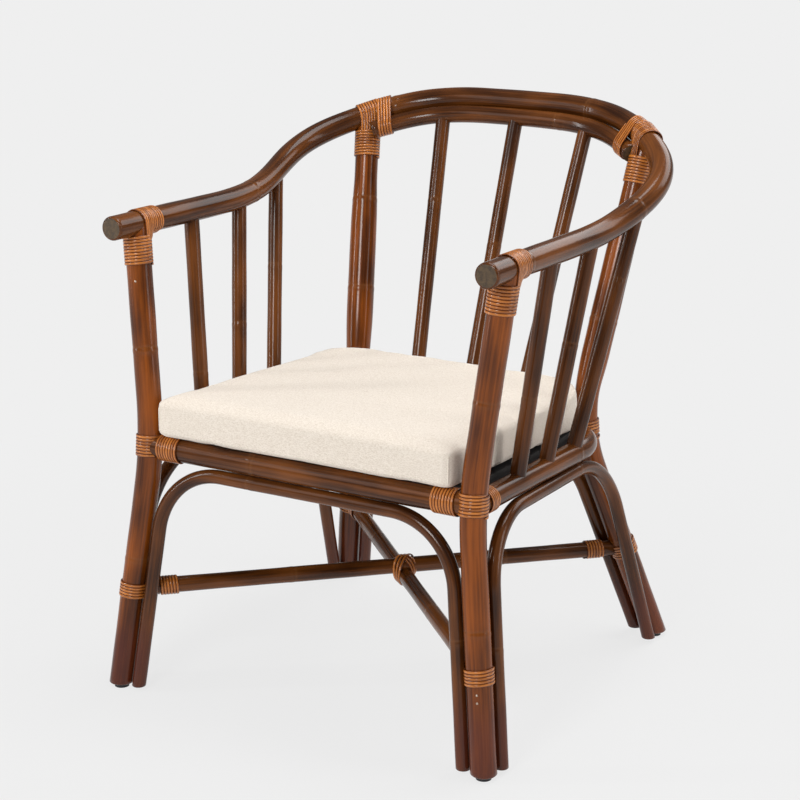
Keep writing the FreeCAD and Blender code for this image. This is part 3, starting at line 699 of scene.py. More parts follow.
@dataclass
class Pole:
    """One round pole along a rounded run, with natural node rings."""

    node: str
    path: Array
    radius: float
    reference: Array
    start: EndCut = EndCut.HIDDEN
    end: EndCut = EndCut.HIDDEN
    rings: tuple[float, ...] = ()
    level: float = 0.0
    seed: float = 0.0
    full: float = 0.0
    full_from: Pair = (0.50, 0.88)
    full_ease: float = 0.1
    around: int = 32
    step: float = 6 * MM
    ring_width: float = 3.2 * MM
    ring_swell: float = 0.02
    groove_depth: float = 0.013
    wavers: tuple[Triple, ...] = ((0.008, 0.031, 5.0), (0.006, 0.0125, 9.0))
    chamfer: float = 0.09
    rim: tuple[Pair, ...] = ((0.84, 0.0), (0.90, 0.012), (0.95, 0.055), (0.985, 0.13), (1.0, 0.24))

    def stations(self) -> Array:
        """Return distances along the pole: even steps, with a finer run at each node ring."""
        total = lengths_along(self.path)[-1]
        even = np.linspace(0.0, total, max(2, round(total / self.step) + 1))
        spread = np.linspace(-3.0, 3.0, 13) * self.ring_width
        close = (np.array(self.rings)[:, None] * total + spread).reshape(-1)
        apart = np.abs(even[:, None] - close[None, :]) > 0.5 * self.ring_width
        return np.sort(np.concatenate([even[np.all(apart, axis=1)], close]))

    def patch(self) -> Patch:
        """Work out the pole's surface.

        A point is the axis at a distance plus the radius times (side x cos + up x sin). The radius swells at
        a node ring, has a narrow groove beside it, wavers along the pole and may be fuller over one stretch.
        Each waver has a depth, a wave length and a phase. The ends are then cut.

        Returns:
            The surface with its grain and ring values.
        """
        at = self.stations()
        total = at[-1]
        axis = point_at(self.path, at)
        tangent = unit(np.gradient(axis, at, axis=0))
        side = unit(np.cross(tangent, self.reference))
        above = np.cross(side, tangent)
        past = at[:, None] - np.array(self.rings)[None, :] * total
        bulge = np.exp(-(past / self.ring_width) ** 2).sum(axis=1)
        groove = np.exp(-((past - 1.6 * self.ring_width) / (0.5 * self.ring_width)) ** 2).sum(axis=1)
        waver = sum(depth * np.sin(at / length + phase * self.seed) for depth, length, phase in self.wavers)
        first, last = self.full_from
        full = soft_step(at / total, first, first + self.full_ease)
        full = self.full * full * (1 - soft_step(at / total, last - self.full_ease, last))
        radius = self.radius * (1 + waver + full + self.ring_swell * bulge - self.groove_depth * groove)
        angle = np.linspace(0.0, 2 * math.pi, self.around, endpoint=False)
        spoke = side[:, None] * np.cos(angle)[:, None] + above[:, None] * np.sin(angle)[:, None]
        points = axis[:, None] + radius[:, None, None] * spoke
        grain = np.stack(np.broadcast_arrays(self.radius * np.cos(angle)[None, :] + 0.7 * self.seed,
                                             self.radius * np.sin(angle)[None, :] + 0.3 * self.seed,
                                             at[:, None] + 1.9 * self.seed), axis=-1)
        ring = np.repeat((bulge * 0.5 + groove)[:, None].clip(0, 1), self.around, axis=1)
        for cut, order in ((self.start, 1), (self.end, -1)):
            rows = self.cut_end(cut, points[::order], grain[::order], ring[::order], axis[::order])
            points, grain, ring = (values[::order] for values in rows)
        return Patch(points, grain, ring)

    def cut_end(self, cut: EndCut, points: Array, grain: Array, ring: Array,
                axis: Array) -> tuple[Array, Array, Array]:
        """Shape the first rows of a surface into a pole's end.

        A level end is moved along the pole to its plane and chamfered. A rounded rim is drawn from pairs of a
        share of the radius and an inset along the pole.

        Args:
            cut: the kind of end.
            points: rows of the surface, the end's row first.
            grain: the same rows' grain.
            ring: the same rows' ring values.
            axis: the axis, from the same end.

        Returns:
            The changed points, grain and ring, with rows added for the rim.
        """
        if cut is EndCut.HIDDEN:
            return points, grain, ring
        centre, inwards = axis[0], unit(axis[1] - axis[0])
        spoke = points[0] - centre
        if cut is EndCut.LEVEL:
            rim = centre + spoke
            rim = rim + inwards * ((self.level - rim[:, 2:]) / inwards[2])
            drawn_in = centre + (rim - centre) * (1 - self.chamfer)
            added = np.stack([drawn_in, rim + inwards * self.chamfer * self.radius])
        else:
            shares, insets = np.array(self.rim).T[:, :, None, None]
            added = centre + spoke * shares + inwards * insets * self.radius
        more = len(added) - 1
        grain = np.concatenate([np.repeat(grain[:1], more, axis=0), grain])
        ring = np.concatenate([np.repeat(ring[:1], more, axis=0), ring])
        return np.concatenate([added, points[1:]]), grain, ring


@dataclass
class PoleFrame:
    """The chair's poles, each over its own solid."""

    layout: Layout
    post_finish: bpy.types.Material
    rail_finish: bpy.types.Material
    end_finish: bpy.types.Material
    arm_rings: tuple[float, ...] = (0.055, 0.235, 0.43, 0.62, 0.81)
    post_rings: tuple[float, ...] = (0.28, 0.735)
    rear_post_rings: tuple[float, ...] = (0.21, 0.655, 0.83)
    rail_rings: tuple[float, ...] = (0.34,)
    arch_rings: tuple[float, ...] = (0.16, 0.58)
    stretcher_rings: tuple[float, ...] = (0.31, 0.74)
    rear_fullness: float = 0.15

    def poles(self) -> list[Pole]:
        """Return every pole of the chair."""
        lay = self.layout
        front = lay.at(lay.front_seat)
        hoop_axis = lay.hoop_path() - UP * lay.hoop_fullness * MM
        hoop_radius = (lay.hoop_radius + lay.hoop_fullness) * MM
        rail_end = front - UP * lay.front_rail_fullness * MM
        rail_radius = (lay.front_rail_radius + lay.front_rail_fullness) * MM
        found = [Pole("arm_rail", lay.arm_path(), lay.arm_radius * MM, UP, EndCut.ROUNDED, EndCut.ROUNDED,
                      self.arm_rings),
                 Pole("inner_back_rail", lay.inner_path(), lay.inner_rail_radius * MM, UP,
                      rings=self.rail_rings),
                 Pole("seat_hoop", hoop_axis, hoop_radius, UP, rings=self.arm_rings[1:4]),
                 Pole("front_seat_rail", np.stack([mirrored(rail_end), rail_end]), rail_radius, UP,
                      rings=self.rail_rings)]
        for side, word in ((-1, "left"), (1, "right")):
            for place, line, rings in (("front", lay.front_line(), self.post_rings),
                                       ("rear", lay.rear_line(), self.rear_post_rings)):
                found.append(self.post("%s_post_%s" % (place, word), on_side(line, side), rings))
            found.append(self.arch("%s_arch" % word, *self.side_arch(side), ACROSS))
        under_rail = self.cross_arch(lay.front_line()[:2], front, lay.front_rail_radius)
        under_hoop = self.cross_arch(lay.rear_line()[:2], lay.hoop_corners()[2], lay.hoop_radius)
        found.append(self.arch("front_arch", *under_rail, DEPTH))
        found.append(self.arch("rear_arch", *under_hoop, DEPTH))
        found.extend(self.spindles())
        found.extend(self.slats())
        for name, ends in self.stretcher_axes().items():
            found.append(Pole(name, ends, lay.stretcher_radius * MM, UP, rings=self.stretcher_rings))
        for index, pole in enumerate(found):
            pole.seed = 0.37 * (index + 1)
        return found

    def post(self, node: str, line: Array, rings: tuple[float, ...]) -> Pole:
        """Return one post, from its level foot to the arm rail's axis."""
        lay = self.layout
        corners = line.copy()
        corners[0] = at_height(line[:2], lay.glide_height * MM)
        share = lay.post_bend_share * shorter_run(line, 1) / shorter_run(corners, 1)
        return Pole(node, bent_path(corners, (share,)), lay.post_radius * MM, ACROSS, start=EndCut.LEVEL,
                    rings=rings, level=lay.glide_height * MM, around=36,
                    full=self.rear_fullness if "rear" in node else 0.0)

    def arch(self, node: str, lines: list[Array], rail_points: Array, rail_radius: float,
             reference: Array) -> Pole:
        """Return an inverted U that stands on two lines and runs under a rail."""
        lay = self.layout
        reach = (rail_radius + lay.arch_radius + lay.clearance) * MM
        run = unit(rail_points[1] - rail_points[0])
        nearest, asides = [], []
        for line, rail in zip(lines, rail_points):
            under = at_height(line, rail[2] - reach)
            nearest.append(rail + run * float((under - rail) @ run))
            asides.append(float(np.linalg.norm((under - nearest[-1])[:2])))
        drop = math.sqrt(reach ** 2 - min(asides + [reach / 2]) ** 2) + lay.arch_lowering * MM
        tops = [at_height(line, rail[2] - drop) for line, rail in zip(lines, nearest)]
        feet = [at_height(line, lay.glide_height * MM) for line in lines]
        floor = [at_height(line, 0.0) for line in lines]
        whole = np.stack([floor[0], tops[0], tops[1], floor[1]])
        corners = np.stack([feet[0], tops[0], tops[1], feet[1]])
        shares = [lay.arch_bend_share * shorter_run(whole, index) / shorter_run(corners, index)
                  for index in (1, 2)]
        return Pole(node, bent_path(corners, shares), (lay.arch_radius + lay.arch_fullness) * MM, reference,
                    EndCut.LEVEL, EndCut.LEVEL, self.arch_rings, lay.glide_height * MM, around=24)

    def cross_arch(self, leg: Array, rail: Array, rail_radius: float) -> tuple[list[Array], Array, float]:
        """Return what the front or rear arch stands on and runs under."""
        spacing = self.layout.bound_post() + self.layout.arch_radius * MM
        shift = beside(leg[1] - leg[0], -ACROSS, spacing)
        line = leg + shift
        return [line, mirrored(line)], np.stack([rail, mirrored(rail)]), rail_radius

    def side_arch(self, side: int) -> tuple[list[Array], Array, float]:
        """Return what one side arch stands on and runs under."""
        lay = self.layout
        spacing = lay.bound_post() + lay.arch_radius * MM
        front_turn = math.radians(lay.side_arch_front_angle)
        rear_turn = math.radians(lay.side_arch_rear_angle)
        front_leg, rear_leg = lay.front_line()[:2], lay.rear_line()[:2]
        front_out = np.array([math.sin(front_turn), math.cos(front_turn), 0.0])
        rear_out = np.array([math.sin(rear_turn), -math.cos(rear_turn), 0.0])
        front_line = front_leg + beside(front_leg[1] - front_leg[0], front_out, spacing)
        rear_foot = lay.at(lay.rear_foot) + beside(rear_leg[1] - rear_leg[0], rear_out, spacing)
        hoop = lay.hoop_corners()
        lines = [on_side(front_line, side), on_side(np.stack([rear_foot, hoop[1]]), side)]
        return lines, on_side(hoop[:2], side), lay.hoop_radius

    def spindles(self) -> list[Pole]:
        """Return the side spindles and the back spindles."""
        lay = self.layout
        found = []
        radius = lay.spindle_radius * MM
        arm, hoop, inner = lay.arm_path(), lay.hoop_path(), lay.inner_path()
        for order, place in enumerate(("front", "middle", "rear")):
            top = point_at(arm, (lay.side_top_first + order * lay.side_top_pitch) * MM)
            foot = point_at(hoop, (lay.side_foot_first + order * lay.side_foot_pitch) * MM)
            for side, word in ((-1, "left"), (1, "right")):
                ends = np.stack([on_side(foot, side), on_side(top, side)])
                found.append(Pole("%s_spindle_%s" % (word, place), ends, radius, ACROSS,
                                  rings=(0.30 + 0.17 * order + 0.06 * side,), around=24))
        for offset, place in ((-1, "right"), (0, "centre"), (1, "left")):
            top = point_at(inner, lengths_along(inner)[-1] / 2 + offset * lay.back_top_pitch * MM)
            foot = point_at(hoop, lengths_along(hoop)[-1] / 2 + offset * lay.back_foot_pitch * MM)
            found.append(Pole("back_spindle_%s" % place, np.stack([foot, top]), radius, ACROSS,
                              rings=(0.55 + 0.14 * offset,), around=24))
        return found

    def slats(self) -> list[Pole]:
        """Return the seat slats, over their solids' own boxes."""
        radius = self.layout.slat_radius * MM
        found = []
        for index in range(1, 6):
            low, high = (np.array(corner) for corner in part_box("seat_slat_%d" % index))
            middle = (low[0] + high[0]) / 2
            front = np.array([middle, low[1], high[2] - radius])
            rear = np.array([middle, high[1], low[2] + radius])
            found.append(Pole("seat_slat_%d" % index, np.stack([front, rear]), radius, UP,
                              rings=(0.2 + 0.13 * index,), around=20))
        return found

    def stretcher_axes(self) -> dict[str, Array]:
        """Return both diagonal stretchers' axes, post to post."""
        lay = self.layout
        front, rear = lay.front_line()[:2], lay.rear_line()[:2]
        low = (lay.long_stretcher_height - lay.crossing_offset) * MM
        high = lay.long_stretcher_height * MM
        return {"long_stretcher": np.stack([mirrored(at_height(front, high)), at_height(rear, high)]),
                "cross_stretcher": np.stack([at_height(front, low), mirrored(at_height(rear, low))])}

    def build(self) -> None:
        """Make every pole as a piece that stands for its solid."""
        for pole in self.poles():
            finish = self.post_finish if "_post_" in pole.node else self.rail_finish
            piece = mesh_piece("pole_" + pole.node, [pole.patch()], [finish, self.end_finish])
            seat_piece(piece, Body.FRAME, [pole.node])


# Bindings

@dataclass
class Strip:
    """Cross-section of one flat strip of peel."""

    half_width: float = 2.15 * MM
    half_height: float = 1.05 * MM
    sides: int = 10
    tuck: float = 0.45
    tuck_points: float = 5.0

    def section(self) -> tuple[Array, Array]:
        """Return the strip's half widths and half heights round its section, a flattened oval."""
        angle = np.linspace(0.0, 2 * math.pi, self.sides, endpoint=False)
        wide = np.sign(np.cos(angle)) * np.abs(np.cos(angle)) ** 0.75
        return self.half_width * wide, self.half_height * np.sin(angle)

    def sweep(self, path: Array, width_way: Array, height_way: Array, seed: float) -> Patch:
        """Carry the section along a path.

        A point is the path plus the width direction times the section's width plus the outward direction
        times its height; the section shrinks at both ends so that the strip tucks in.

        Args:
            path: centre points of the strip.
            width_way: unit width direction of the whole strip.
            height_way: unit outward direction at each point.
            seed: shift of the grain.

        Returns:
            The strip's surface.
        """
        wide, high = self.section()
        count = np.arange(len(path))
        taper = np.clip(self.tuck + np.minimum(count, count[::-1]) / self.tuck_points, 0.0, 1.0)
        section = width_way * wide[None, :, None] + height_way[:, None] * high[None, :, None]
        points = path[:, None] + taper[:, None, None] * section
        forward = np.gradient(path, axis=0)
        turned = np.einsum("ij,ij->i", np.cross(width_way, height_way), forward).mean() > 0
        along = lengths_along(path)[:, None]
        grain = np.stack([along + 0 * wide + seed, wide + 0 * along + 0.1 * seed, high + 0 * along], axis=-1)
        # Nearness to the strip's edge, kept as the ring value; the peel finish darkens it as painted shade
        # between strips.
        edge = np.abs(wide)[None, :] / self.half_width + 0 * along
        if turned:
            points, grain, edge = points[:, ::-1], grain[:, ::-1], edge[:, ::-1]
        return Patch(points, grain, edge ** 3)


@dataclass(frozen=True)
class Strap:
    """A fan of strips: its spread and its middle's shift, each on top and at the post, and its drop."""

    fan: Pair
    shift: Pair
    drop: float


@dataclass
class Bindings:
    """Strips of peel round the joints, gathered by the solid that they stand for."""

    layout: Layout
    poles: PoleFrame
    finish: bpy.types.Material
    strip: Strip = field(default_factory=Strip)
    turn_points: int = 44
    neck_turns: int = 9
    solid_neck_turns: float = 7.3
    wrap_turns: int = 5
    seat_turns: int = 7
    front_rail_turns: int = 8
    hoop_turns: int = 5
    rear_seat_turns: int = 4
    leg_turns: int = 5
    stretcher_turns: int = 6
    solid_stretcher_turns: int = 5
    arm_strap: Strap = Strap((20 * MM, 15 * MM), (9 * MM, 8 * MM), 26 * MM)
    crest_strap: Strap = Strap((29 * MM, 26 * MM), (2 * MM, 3 * MM), 28 * MM)
    strap_ease: float = 5 * MM
    strap_leg_points: int = 12
    strap_bow_points: int = 30
    arm_wrap_shift: float = 6 * MM
    crest_wrap_shift: float = 8 * MM
    wrap_slant: float = 7 * MM
    wrap_lift: float = 0.4 * MM
    stretcher_shift: float = 7 * MM
    crossed_below: float = 15 * MM
    crossed_lean: float = 0.26
    lashing_layer: float = 2.6 * MM

    def half_length(self, turns: int) -> float:
        """Return half the length of a coil of so many turns."""
        return (turns * self.layout.strip_pitch + self.layout.strip_diameter) / 2 * MM

    def lifted(self, radius: float) -> float:
        """Return how far from a pole's axis the middle of a strip lies, from the radius in millimetres."""
        return (radius + self.layout.clearance) * MM + self.strip.half_height

    def coil(self, origin: Array, axis: Array, radius: float, turns: int, seed: float) -> Patch:
        """Wind a strip round a pole.

        The centre line is the origin plus the axis times the climb plus the lifted radius times (cos, sin) in
        the plane across the axis.

        Args:
            origin: middle of the coil on the pole's axis.
            axis: the pole's direction.
            radius: the pole's radius in millimetres.
            turns: number of turns.
            seed: shift of the grain and of the starting angle.

        Returns:
            The coil's surface.
        """
        axis = unit(axis)
        first = unit(np.cross(axis, ACROSS if abs(axis[0]) < 0.8 else UP))
        second = np.cross(axis, first)
        turn = np.linspace(0.0, turns, turns * self.turn_points + 1)
        angle = (2 * math.pi * turn + 2.4 * seed)[:, None]
        outwards = first * np.cos(angle) + second * np.sin(angle)
        climb = self.layout.strip_pitch * MM * (turn - turns / 2)
        path = origin + axis * climb[:, None] + outwards * self.lifted(radius)
        return self.strip.sweep(path, axis, outwards, seed)

    def strap(self, origin: Array, rail: Array, down: Array, plan: Strap, seed: float) -> list[Patch]:
        """Lay strips over the arm rail and down both sides of the post under it.

        In the plane across the rail a strip runs up the post's side, round the rail's upper half circle and
        down again. Along the rail it lies at its own share of the fan, and under the rail it follows the
        post's slant. From the rail's side to the post's side it lies taut, but never inside the rail.

        Args:
            origin: place on the rail's axis over the post.
            rail: the rail's direction.
            down: the post's direction, away from the rail.
            plan: the strap's sizes.
            seed: shift of the grain.

        Returns:
            One surface for each strip.
        """
        rail = unit(rail)
        across = unit(np.cross(rail, down))
        above = -unit(down - rail * float(down @ rail))
        lift = self.lifted(self.layout.arm_radius)
        leg = np.linspace(-plan.drop, 0.0, self.strap_leg_points)
        bow = np.linspace(0.0, math.pi, self.strap_bow_points)[1:-1]
        out_side = np.concatenate([0 * leg - 1, -np.cos(bow), 0 * leg + 1])
        out_up = np.concatenate([0 * leg, np.sin(bow), 0 * leg])
        outwards = across * out_side[:, None] + above * out_up[:, None]
        height = np.concatenate([leg, lift * np.sin(bow), leg[::-1]])
        rise = np.clip((height + plan.drop) / (plan.drop + lift), 0.0, 1.0)
        spread = plan.fan[1] + (plan.fan[0] - plan.fan[1]) * rise ** 0.8
        middle = plan.shift[1] + (plan.shift[0] - plan.shift[1]) * rise
        slant = float(unit(down) @ rail)
        below = self.strap_ease * np.logaddexp(0.0, -height / self.strap_ease)
        follow = slant / math.sqrt(1 - slant ** 2) * below
        on_rail = np.sqrt(np.clip(1 - (np.minimum(height, 0.0) / lift) ** 2, 0.0, 1.0))
        count = round(plan.fan[0] / (self.layout.strip_pitch * MM)) + 1
        found = []
        for index in range(count):
            offset = (index / (count - 1) - 0.5) * spread + middle
            hug = math.sqrt(max(1 - (float(offset[0]) / lift) ** 2, 0.0))
            inset = np.maximum(1 + (hug - 1) * np.clip(-height / plan.drop, 0.0, 1.0), on_rail)
            path = origin + rail * (offset + follow)[:, None] + above * height[:, None]
            path = path + across * (lift * out_side * inset)[:, None]
            found.append(self.strip.sweep(path, rail, outwards, seed + 0.31 * index))
        return found

    def neck(self, line: Array, rail: Array, seed: float) -> Patch:
        """Return the coil round a post just under the rail that it carries, ending where the solid ends."""
        lay = self.layout
        down = unit(line[1] - line[2])
        slant = abs(float(down @ unit(rail)))
        under_rail = (lay.arm_radius + lay.strip_diameter + 2 * lay.clearance + lay.binding_gap) * MM
        start = (under_rail + lay.bound_post() * slant) / math.sqrt(1 - slant ** 2)
        lower_end = start + (self.solid_neck_turns * lay.strip_pitch + lay.strip_diameter / 2) * MM
        middle = lower_end - self.neck_turns * lay.strip_pitch * MM / 2
        return self.coil(line[2] + down * middle, down, lay.post_radius, self.neck_turns, seed)

    def arm_bindings(self) -> list[Patch]:
        """Return the front posts' neck coils, the straps over the arms and the wraps behind them."""
        lay = self.layout
        found = []
        past_post = (lay.arm_overhang + lay.post_radius + lay.binding_gap) * MM
        to_wrap = past_post + self.half_length(self.wrap_turns)
        for side in (-1, 1):
            path = on_side(lay.arm_path(), side)
            line = on_side(lay.front_line(), side)
            rail = direction_at(path, to_wrap)
            wrap = point_at(path, to_wrap - self.arm_wrap_shift)
            found.append(self.neck(line, rail, 0.2 + side))
            found.append(self.coil(wrap, rail, lay.arm_radius, self.wrap_turns, 0.7 + side))
            found.extend(self.strap(line[2], rail, line[1] - line[2], self.arm_strap, 2.1 + side))
        return found

    def crest_bindings(self) -> list[Patch]:
        """Return the rear posts' neck coils, the crest's straps and the wraps round crest and inner rail."""
        lay = self.layout
        found = []
        corners = lay.arm_corners()
        path, inner = lay.arm_path(), lay.inner_path()
        to_post = lay.bound_post() + lay.binding_gap * MM + self.half_length(self.wrap_turns)
        nearest = np.linalg.norm(path - lay.rear_top(), axis=1)
        after = int(np.argmin(np.where(path[:, 1] > lay.rear_top()[1], nearest, 1.0)))
        to_wrap = lengths_along(path)[after] - nearest[after] + to_post
        place, rail = point_at(path, to_wrap), direction_at(path, to_wrap)
        apart = point_at(inner, to_post) - place
        apart = apart - rail * float(apart @ rail)
        wrap = np.stack([place - rail * self.crest_wrap_shift, rail, apart])
        for side in (-1, 1):
            line = on_side(lay.rear_line(), side)
            run = on_side(corners[3] - corners[2], side)
            found.append(self.neck(line, run, 0.4 + side))
            found.append(self.pair_coil(*on_side(wrap, side), 1.3 + side))
            found.extend(self.strap(line[2], run, line[1] - line[2], self.crest_strap, 3.3 + side))
        return found

    def pair_coil(self, origin: Array, axis: Array, apart: Array, seed: float) -> Patch:
        """Wind a strip round the crest and the inner rail together.

        The centre line follows a taut band round two circles: an arc on each and two straight runs between
        them. It climbs evenly along the crest and leans towards the post on the inner rail's side.

        Args:
            origin: middle of the coil on the crest's axis.
            axis: the crest's direction.
            apart: from the crest's axis to the inner rail's.
            seed: shift of the grain.

        Returns:
            The winding's surface.
        """
        lay = self.layout
        turns = self.wrap_turns
        axis, first = unit(axis), unit(apart)
        second = np.cross(axis, first)
        gap = float(np.linalg.norm(apart))
        near = self.lifted(lay.arm_radius) + self.wrap_lift
        far = self.lifted(lay.inner_rail_radius) + self.wrap_lift
        touch = math.acos((near - far) / gap)
        one = circle(np.linspace(touch, 2 * math.pi - touch, 22))
        two = circle(np.linspace(-touch, touch, 18))
        outward = np.concatenate([one, two, one[:1]])
        band = np.concatenate([near * one, far * two + np.array([gap, 0.0]), near * one[:1]])
        reach = lengths_along(band)
        at = np.linspace(0.0, reach[-1], self.turn_points, endpoint=False)
        lap, out = (np.stack([np.interp(at, reach, rows[:, column]) for column in (0, 1)], axis=1)
                    for rows in (band, outward))
        lap, out = np.tile(lap, (turns, 1)), unit(np.tile(out, (turns, 1)))
        climb = np.linspace(-turns / 2, turns / 2, len(lap)) * lay.strip_pitch * MM
        slant = -self.wrap_slant * lap[:, 0] / gap
        path = origin + first * lap[:, :1] + second * lap[:, 1:] + axis * (climb + slant)[:, None]
        return self.strip.sweep(path, axis, first * out[:, :1] + second * out[:, 1:], seed)

    def seat_bend(self, line: Array) -> tuple[Array, Array]:
        """Return the middle of a post's bend at the seat and the post's direction there."""
        middle = bend_middle(line, self.layout.post_bend_share)
        return middle, unit(unit(line[1] - line[0]) + unit(line[2] - line[1]))

    def front_seat_bindings(self) -> list[Patch]:
        """Return the coils round the front posts, the front rail's ends and the hoop's ends."""
        lay = self.layout
        found = []
        start = (lay.post_radius + lay.binding_gap) * MM
        for side in (-1, 1):
            seat = on_side(lay.at(lay.front_seat), side)
            bend = self.seat_bend(on_side(lay.front_line(), side))
            found.append(self.coil(*bend, lay.post_radius, self.seat_turns, 0.9 + side))
            hoop = on_side(lay.hoop_corners(), side)
            rails = ((-side * ACROSS, lay.front_rail_radius, lay.front_rail_fullness, self.front_rail_turns),
                     (unit(hoop[1] - hoop[0]), lay.hoop_radius, lay.hoop_fullness, self.hoop_turns))
            for (run, radius, fuller, turns), seed in zip(rails, (1.7, 2.6)):
                origin = seat + run * (start + self.half_length(turns)) - UP * fuller * MM
                found.append(self.coil(origin, run, radius + fuller, turns, seed + side))
        return found

    def rear_seat_bindings(self) -> list[Patch]:
        """Return the coils round the rear posts at the hoop, with two crossed strips under each."""
        radius = self.layout.post_radius
        found = []
        for side in (-1, 1):
            middle, axis = self.seat_bend(on_side(self.layout.rear_line(), side))
            found.append(self.coil(middle, axis, radius, self.rear_seat_turns, 0.6 + side))
            below = middle - axis * self.crossed_below
            for lean in (-self.crossed_lean, self.crossed_lean):
                tilted = unit(axis + lean * np.cross(axis, DEPTH))
                found.append(self.hoop_strip(below, axis, tilted, radius, 1.1 + lean + side))
        return found

    def hoop_strip(self, origin: Array, axis: Array, tilted: Array, radius: float, seed: float) -> Patch:
        """Lay one closed strip round a pole in a plane whose normal is tilted from the pole's axis.

        Round the pole the strip's height along the axis is what keeps it in the tilted plane: minus the
        outward direction's share along the tilted normal, over the axis's share, times the radius.

        Args:
            origin: middle of the strip on the pole's axis.
            axis: the pole's direction.
            tilted: the plane's normal.
            radius: the pole's radius in millimetres.
            seed: shift of the grain.

        Returns:
            The strip's surface.
        """
        first = unit(np.cross(axis, ACROSS))
        second = np.cross(axis, first)
        angle = np.linspace(0.0, 2 * math.pi, self.turn_points + 1)[:, None]
        outwards = first * np.cos(angle) + second * np.sin(angle)
        lift = self.lifted(radius)
        climb = -(outwards @ tilted) / float(axis @ tilted) * lift
        path = origin + outwards * lift + axis * climb[:, None]
        return self.strip.sweep(path, tilted, outwards, seed)

    def leg_bindings(self) -> list[Patch]:
        """Return the rings of peel round the four legs where the stretchers meet them."""
        lay = self.layout
        found = []
        for name, ends in self.poles.stretcher_axes().items():
            first_seed = 0.9 if name == "long_stretcher" else 0.5
            for end, line in zip(ends, (lay.front_line(), lay.rear_line())):
                leg = on_side(line, 1 if end[0] > 0 else -1)
                seed = first_seed + 7 * abs(float(end[0]))
                found.append(self.coil(end, leg[1] - leg[0], lay.post_radius, self.leg_turns, seed))
        return found

    def stretcher_bindings(self) -> list[Patch]:
        """Return the coils round both ends of each stretcher."""
        lay = self.layout
        found = []
        reach = 2 * lay.bound_post() + self.half_length(self.solid_stretcher_turns) - self.stretcher_shift
        for ends in self.poles.stretcher_axes().values():
            for start, end in (ends, ends[::-1]):
                run = unit(end - start)
                origin, seed = start + run * reach, 0.8 + 3 * float(start[0])
                found.append(self.coil(origin, run, lay.stretcher_radius, self.stretcher_turns, seed))
        return found

    def crossing_binding(self) -> list[Patch]:
        """Return the lashing over the stretchers' crossing.

        It is two sets of sheared ovals, one on each diagonal, the second set over the first. A strip is
        centre + axis x offset + sideways x (half width x cos + offset x sin) + up x half height x sin.

        Returns:
            One surface for each strip.
        """
        lay = self.layout
        axes = self.poles.stretcher_axes()
        upper, lower = axes["long_stretcher"], axes["cross_stretcher"]
        upper_run, lower_run = unit(upper[1] - upper[0]), unit(lower[1] - lower[0])
        beside_lower = np.array([lower_run[1], -lower_run[0], 0.0])
        reach = float((lower[0] - upper[0]) @ beside_lower) / float(upper_run @ beside_lower)
        centre = upper[0] + upper_run * reach - UP * lay.crossing_offset / 2 * MM
        spread = math.acos(float(upper_run @ lower_run)) / 2
        radius = lay.stretcher_radius * MM
        angle = np.linspace(0.0, 2 * math.pi, self.turn_points + 1)[:, None]
        found = []
        for layer, axis in enumerate((unit(upper_run + lower_run), unit(upper_run - lower_run))):
            sideways = np.cross(UP, axis)
            lift = self.strip.half_height + lay.clearance * MM + self.lashing_layer * layer
            wide = radius / (math.cos(spread) if layer == 0 else math.sin(spread)) + lift
            high = radius + lay.crossing_offset / 2 * MM + lift
            sense = 1.0 if float(upper_run @ sideways) * float(upper_run @ axis) > 0 else -1.0
            outwards = unit(sideways * np.cos(angle) / wide + UP * np.sin(angle) / high)
            for index in (-1, 0, 1):
                along = index * lay.strip_pitch * MM
                flat = wide * np.cos(angle) + sense * along * np.sin(angle)
                path = centre + axis * along + sideways * flat + UP * high * np.sin(angle)
                found.append(self.strip.sweep(path, axis, outwards, 1.9 + index + 0.5 * layer))
        return found

    def build(self) -> None:
        """Make one piece for each of the binding solids."""
        windings = {"arm_bindings": self.arm_bindings, "crest_bindings": self.crest_bindings,
                    "front_seat_bindings": self.front_seat_bindings,
                    "rear_seat_bindings": self.rear_seat_bindings, "leg_bindings": self.leg_bindings,
                    "stretcher_bindings": self.stretcher_bindings, "crossing_binding": self.crossing_binding}
        for node, wind in windings.items():
            piece = mesh_piece("peel_" + node, wind(), [self.finish])
            seat_piece(piece, Body.FRAME, [node])


# Cushion

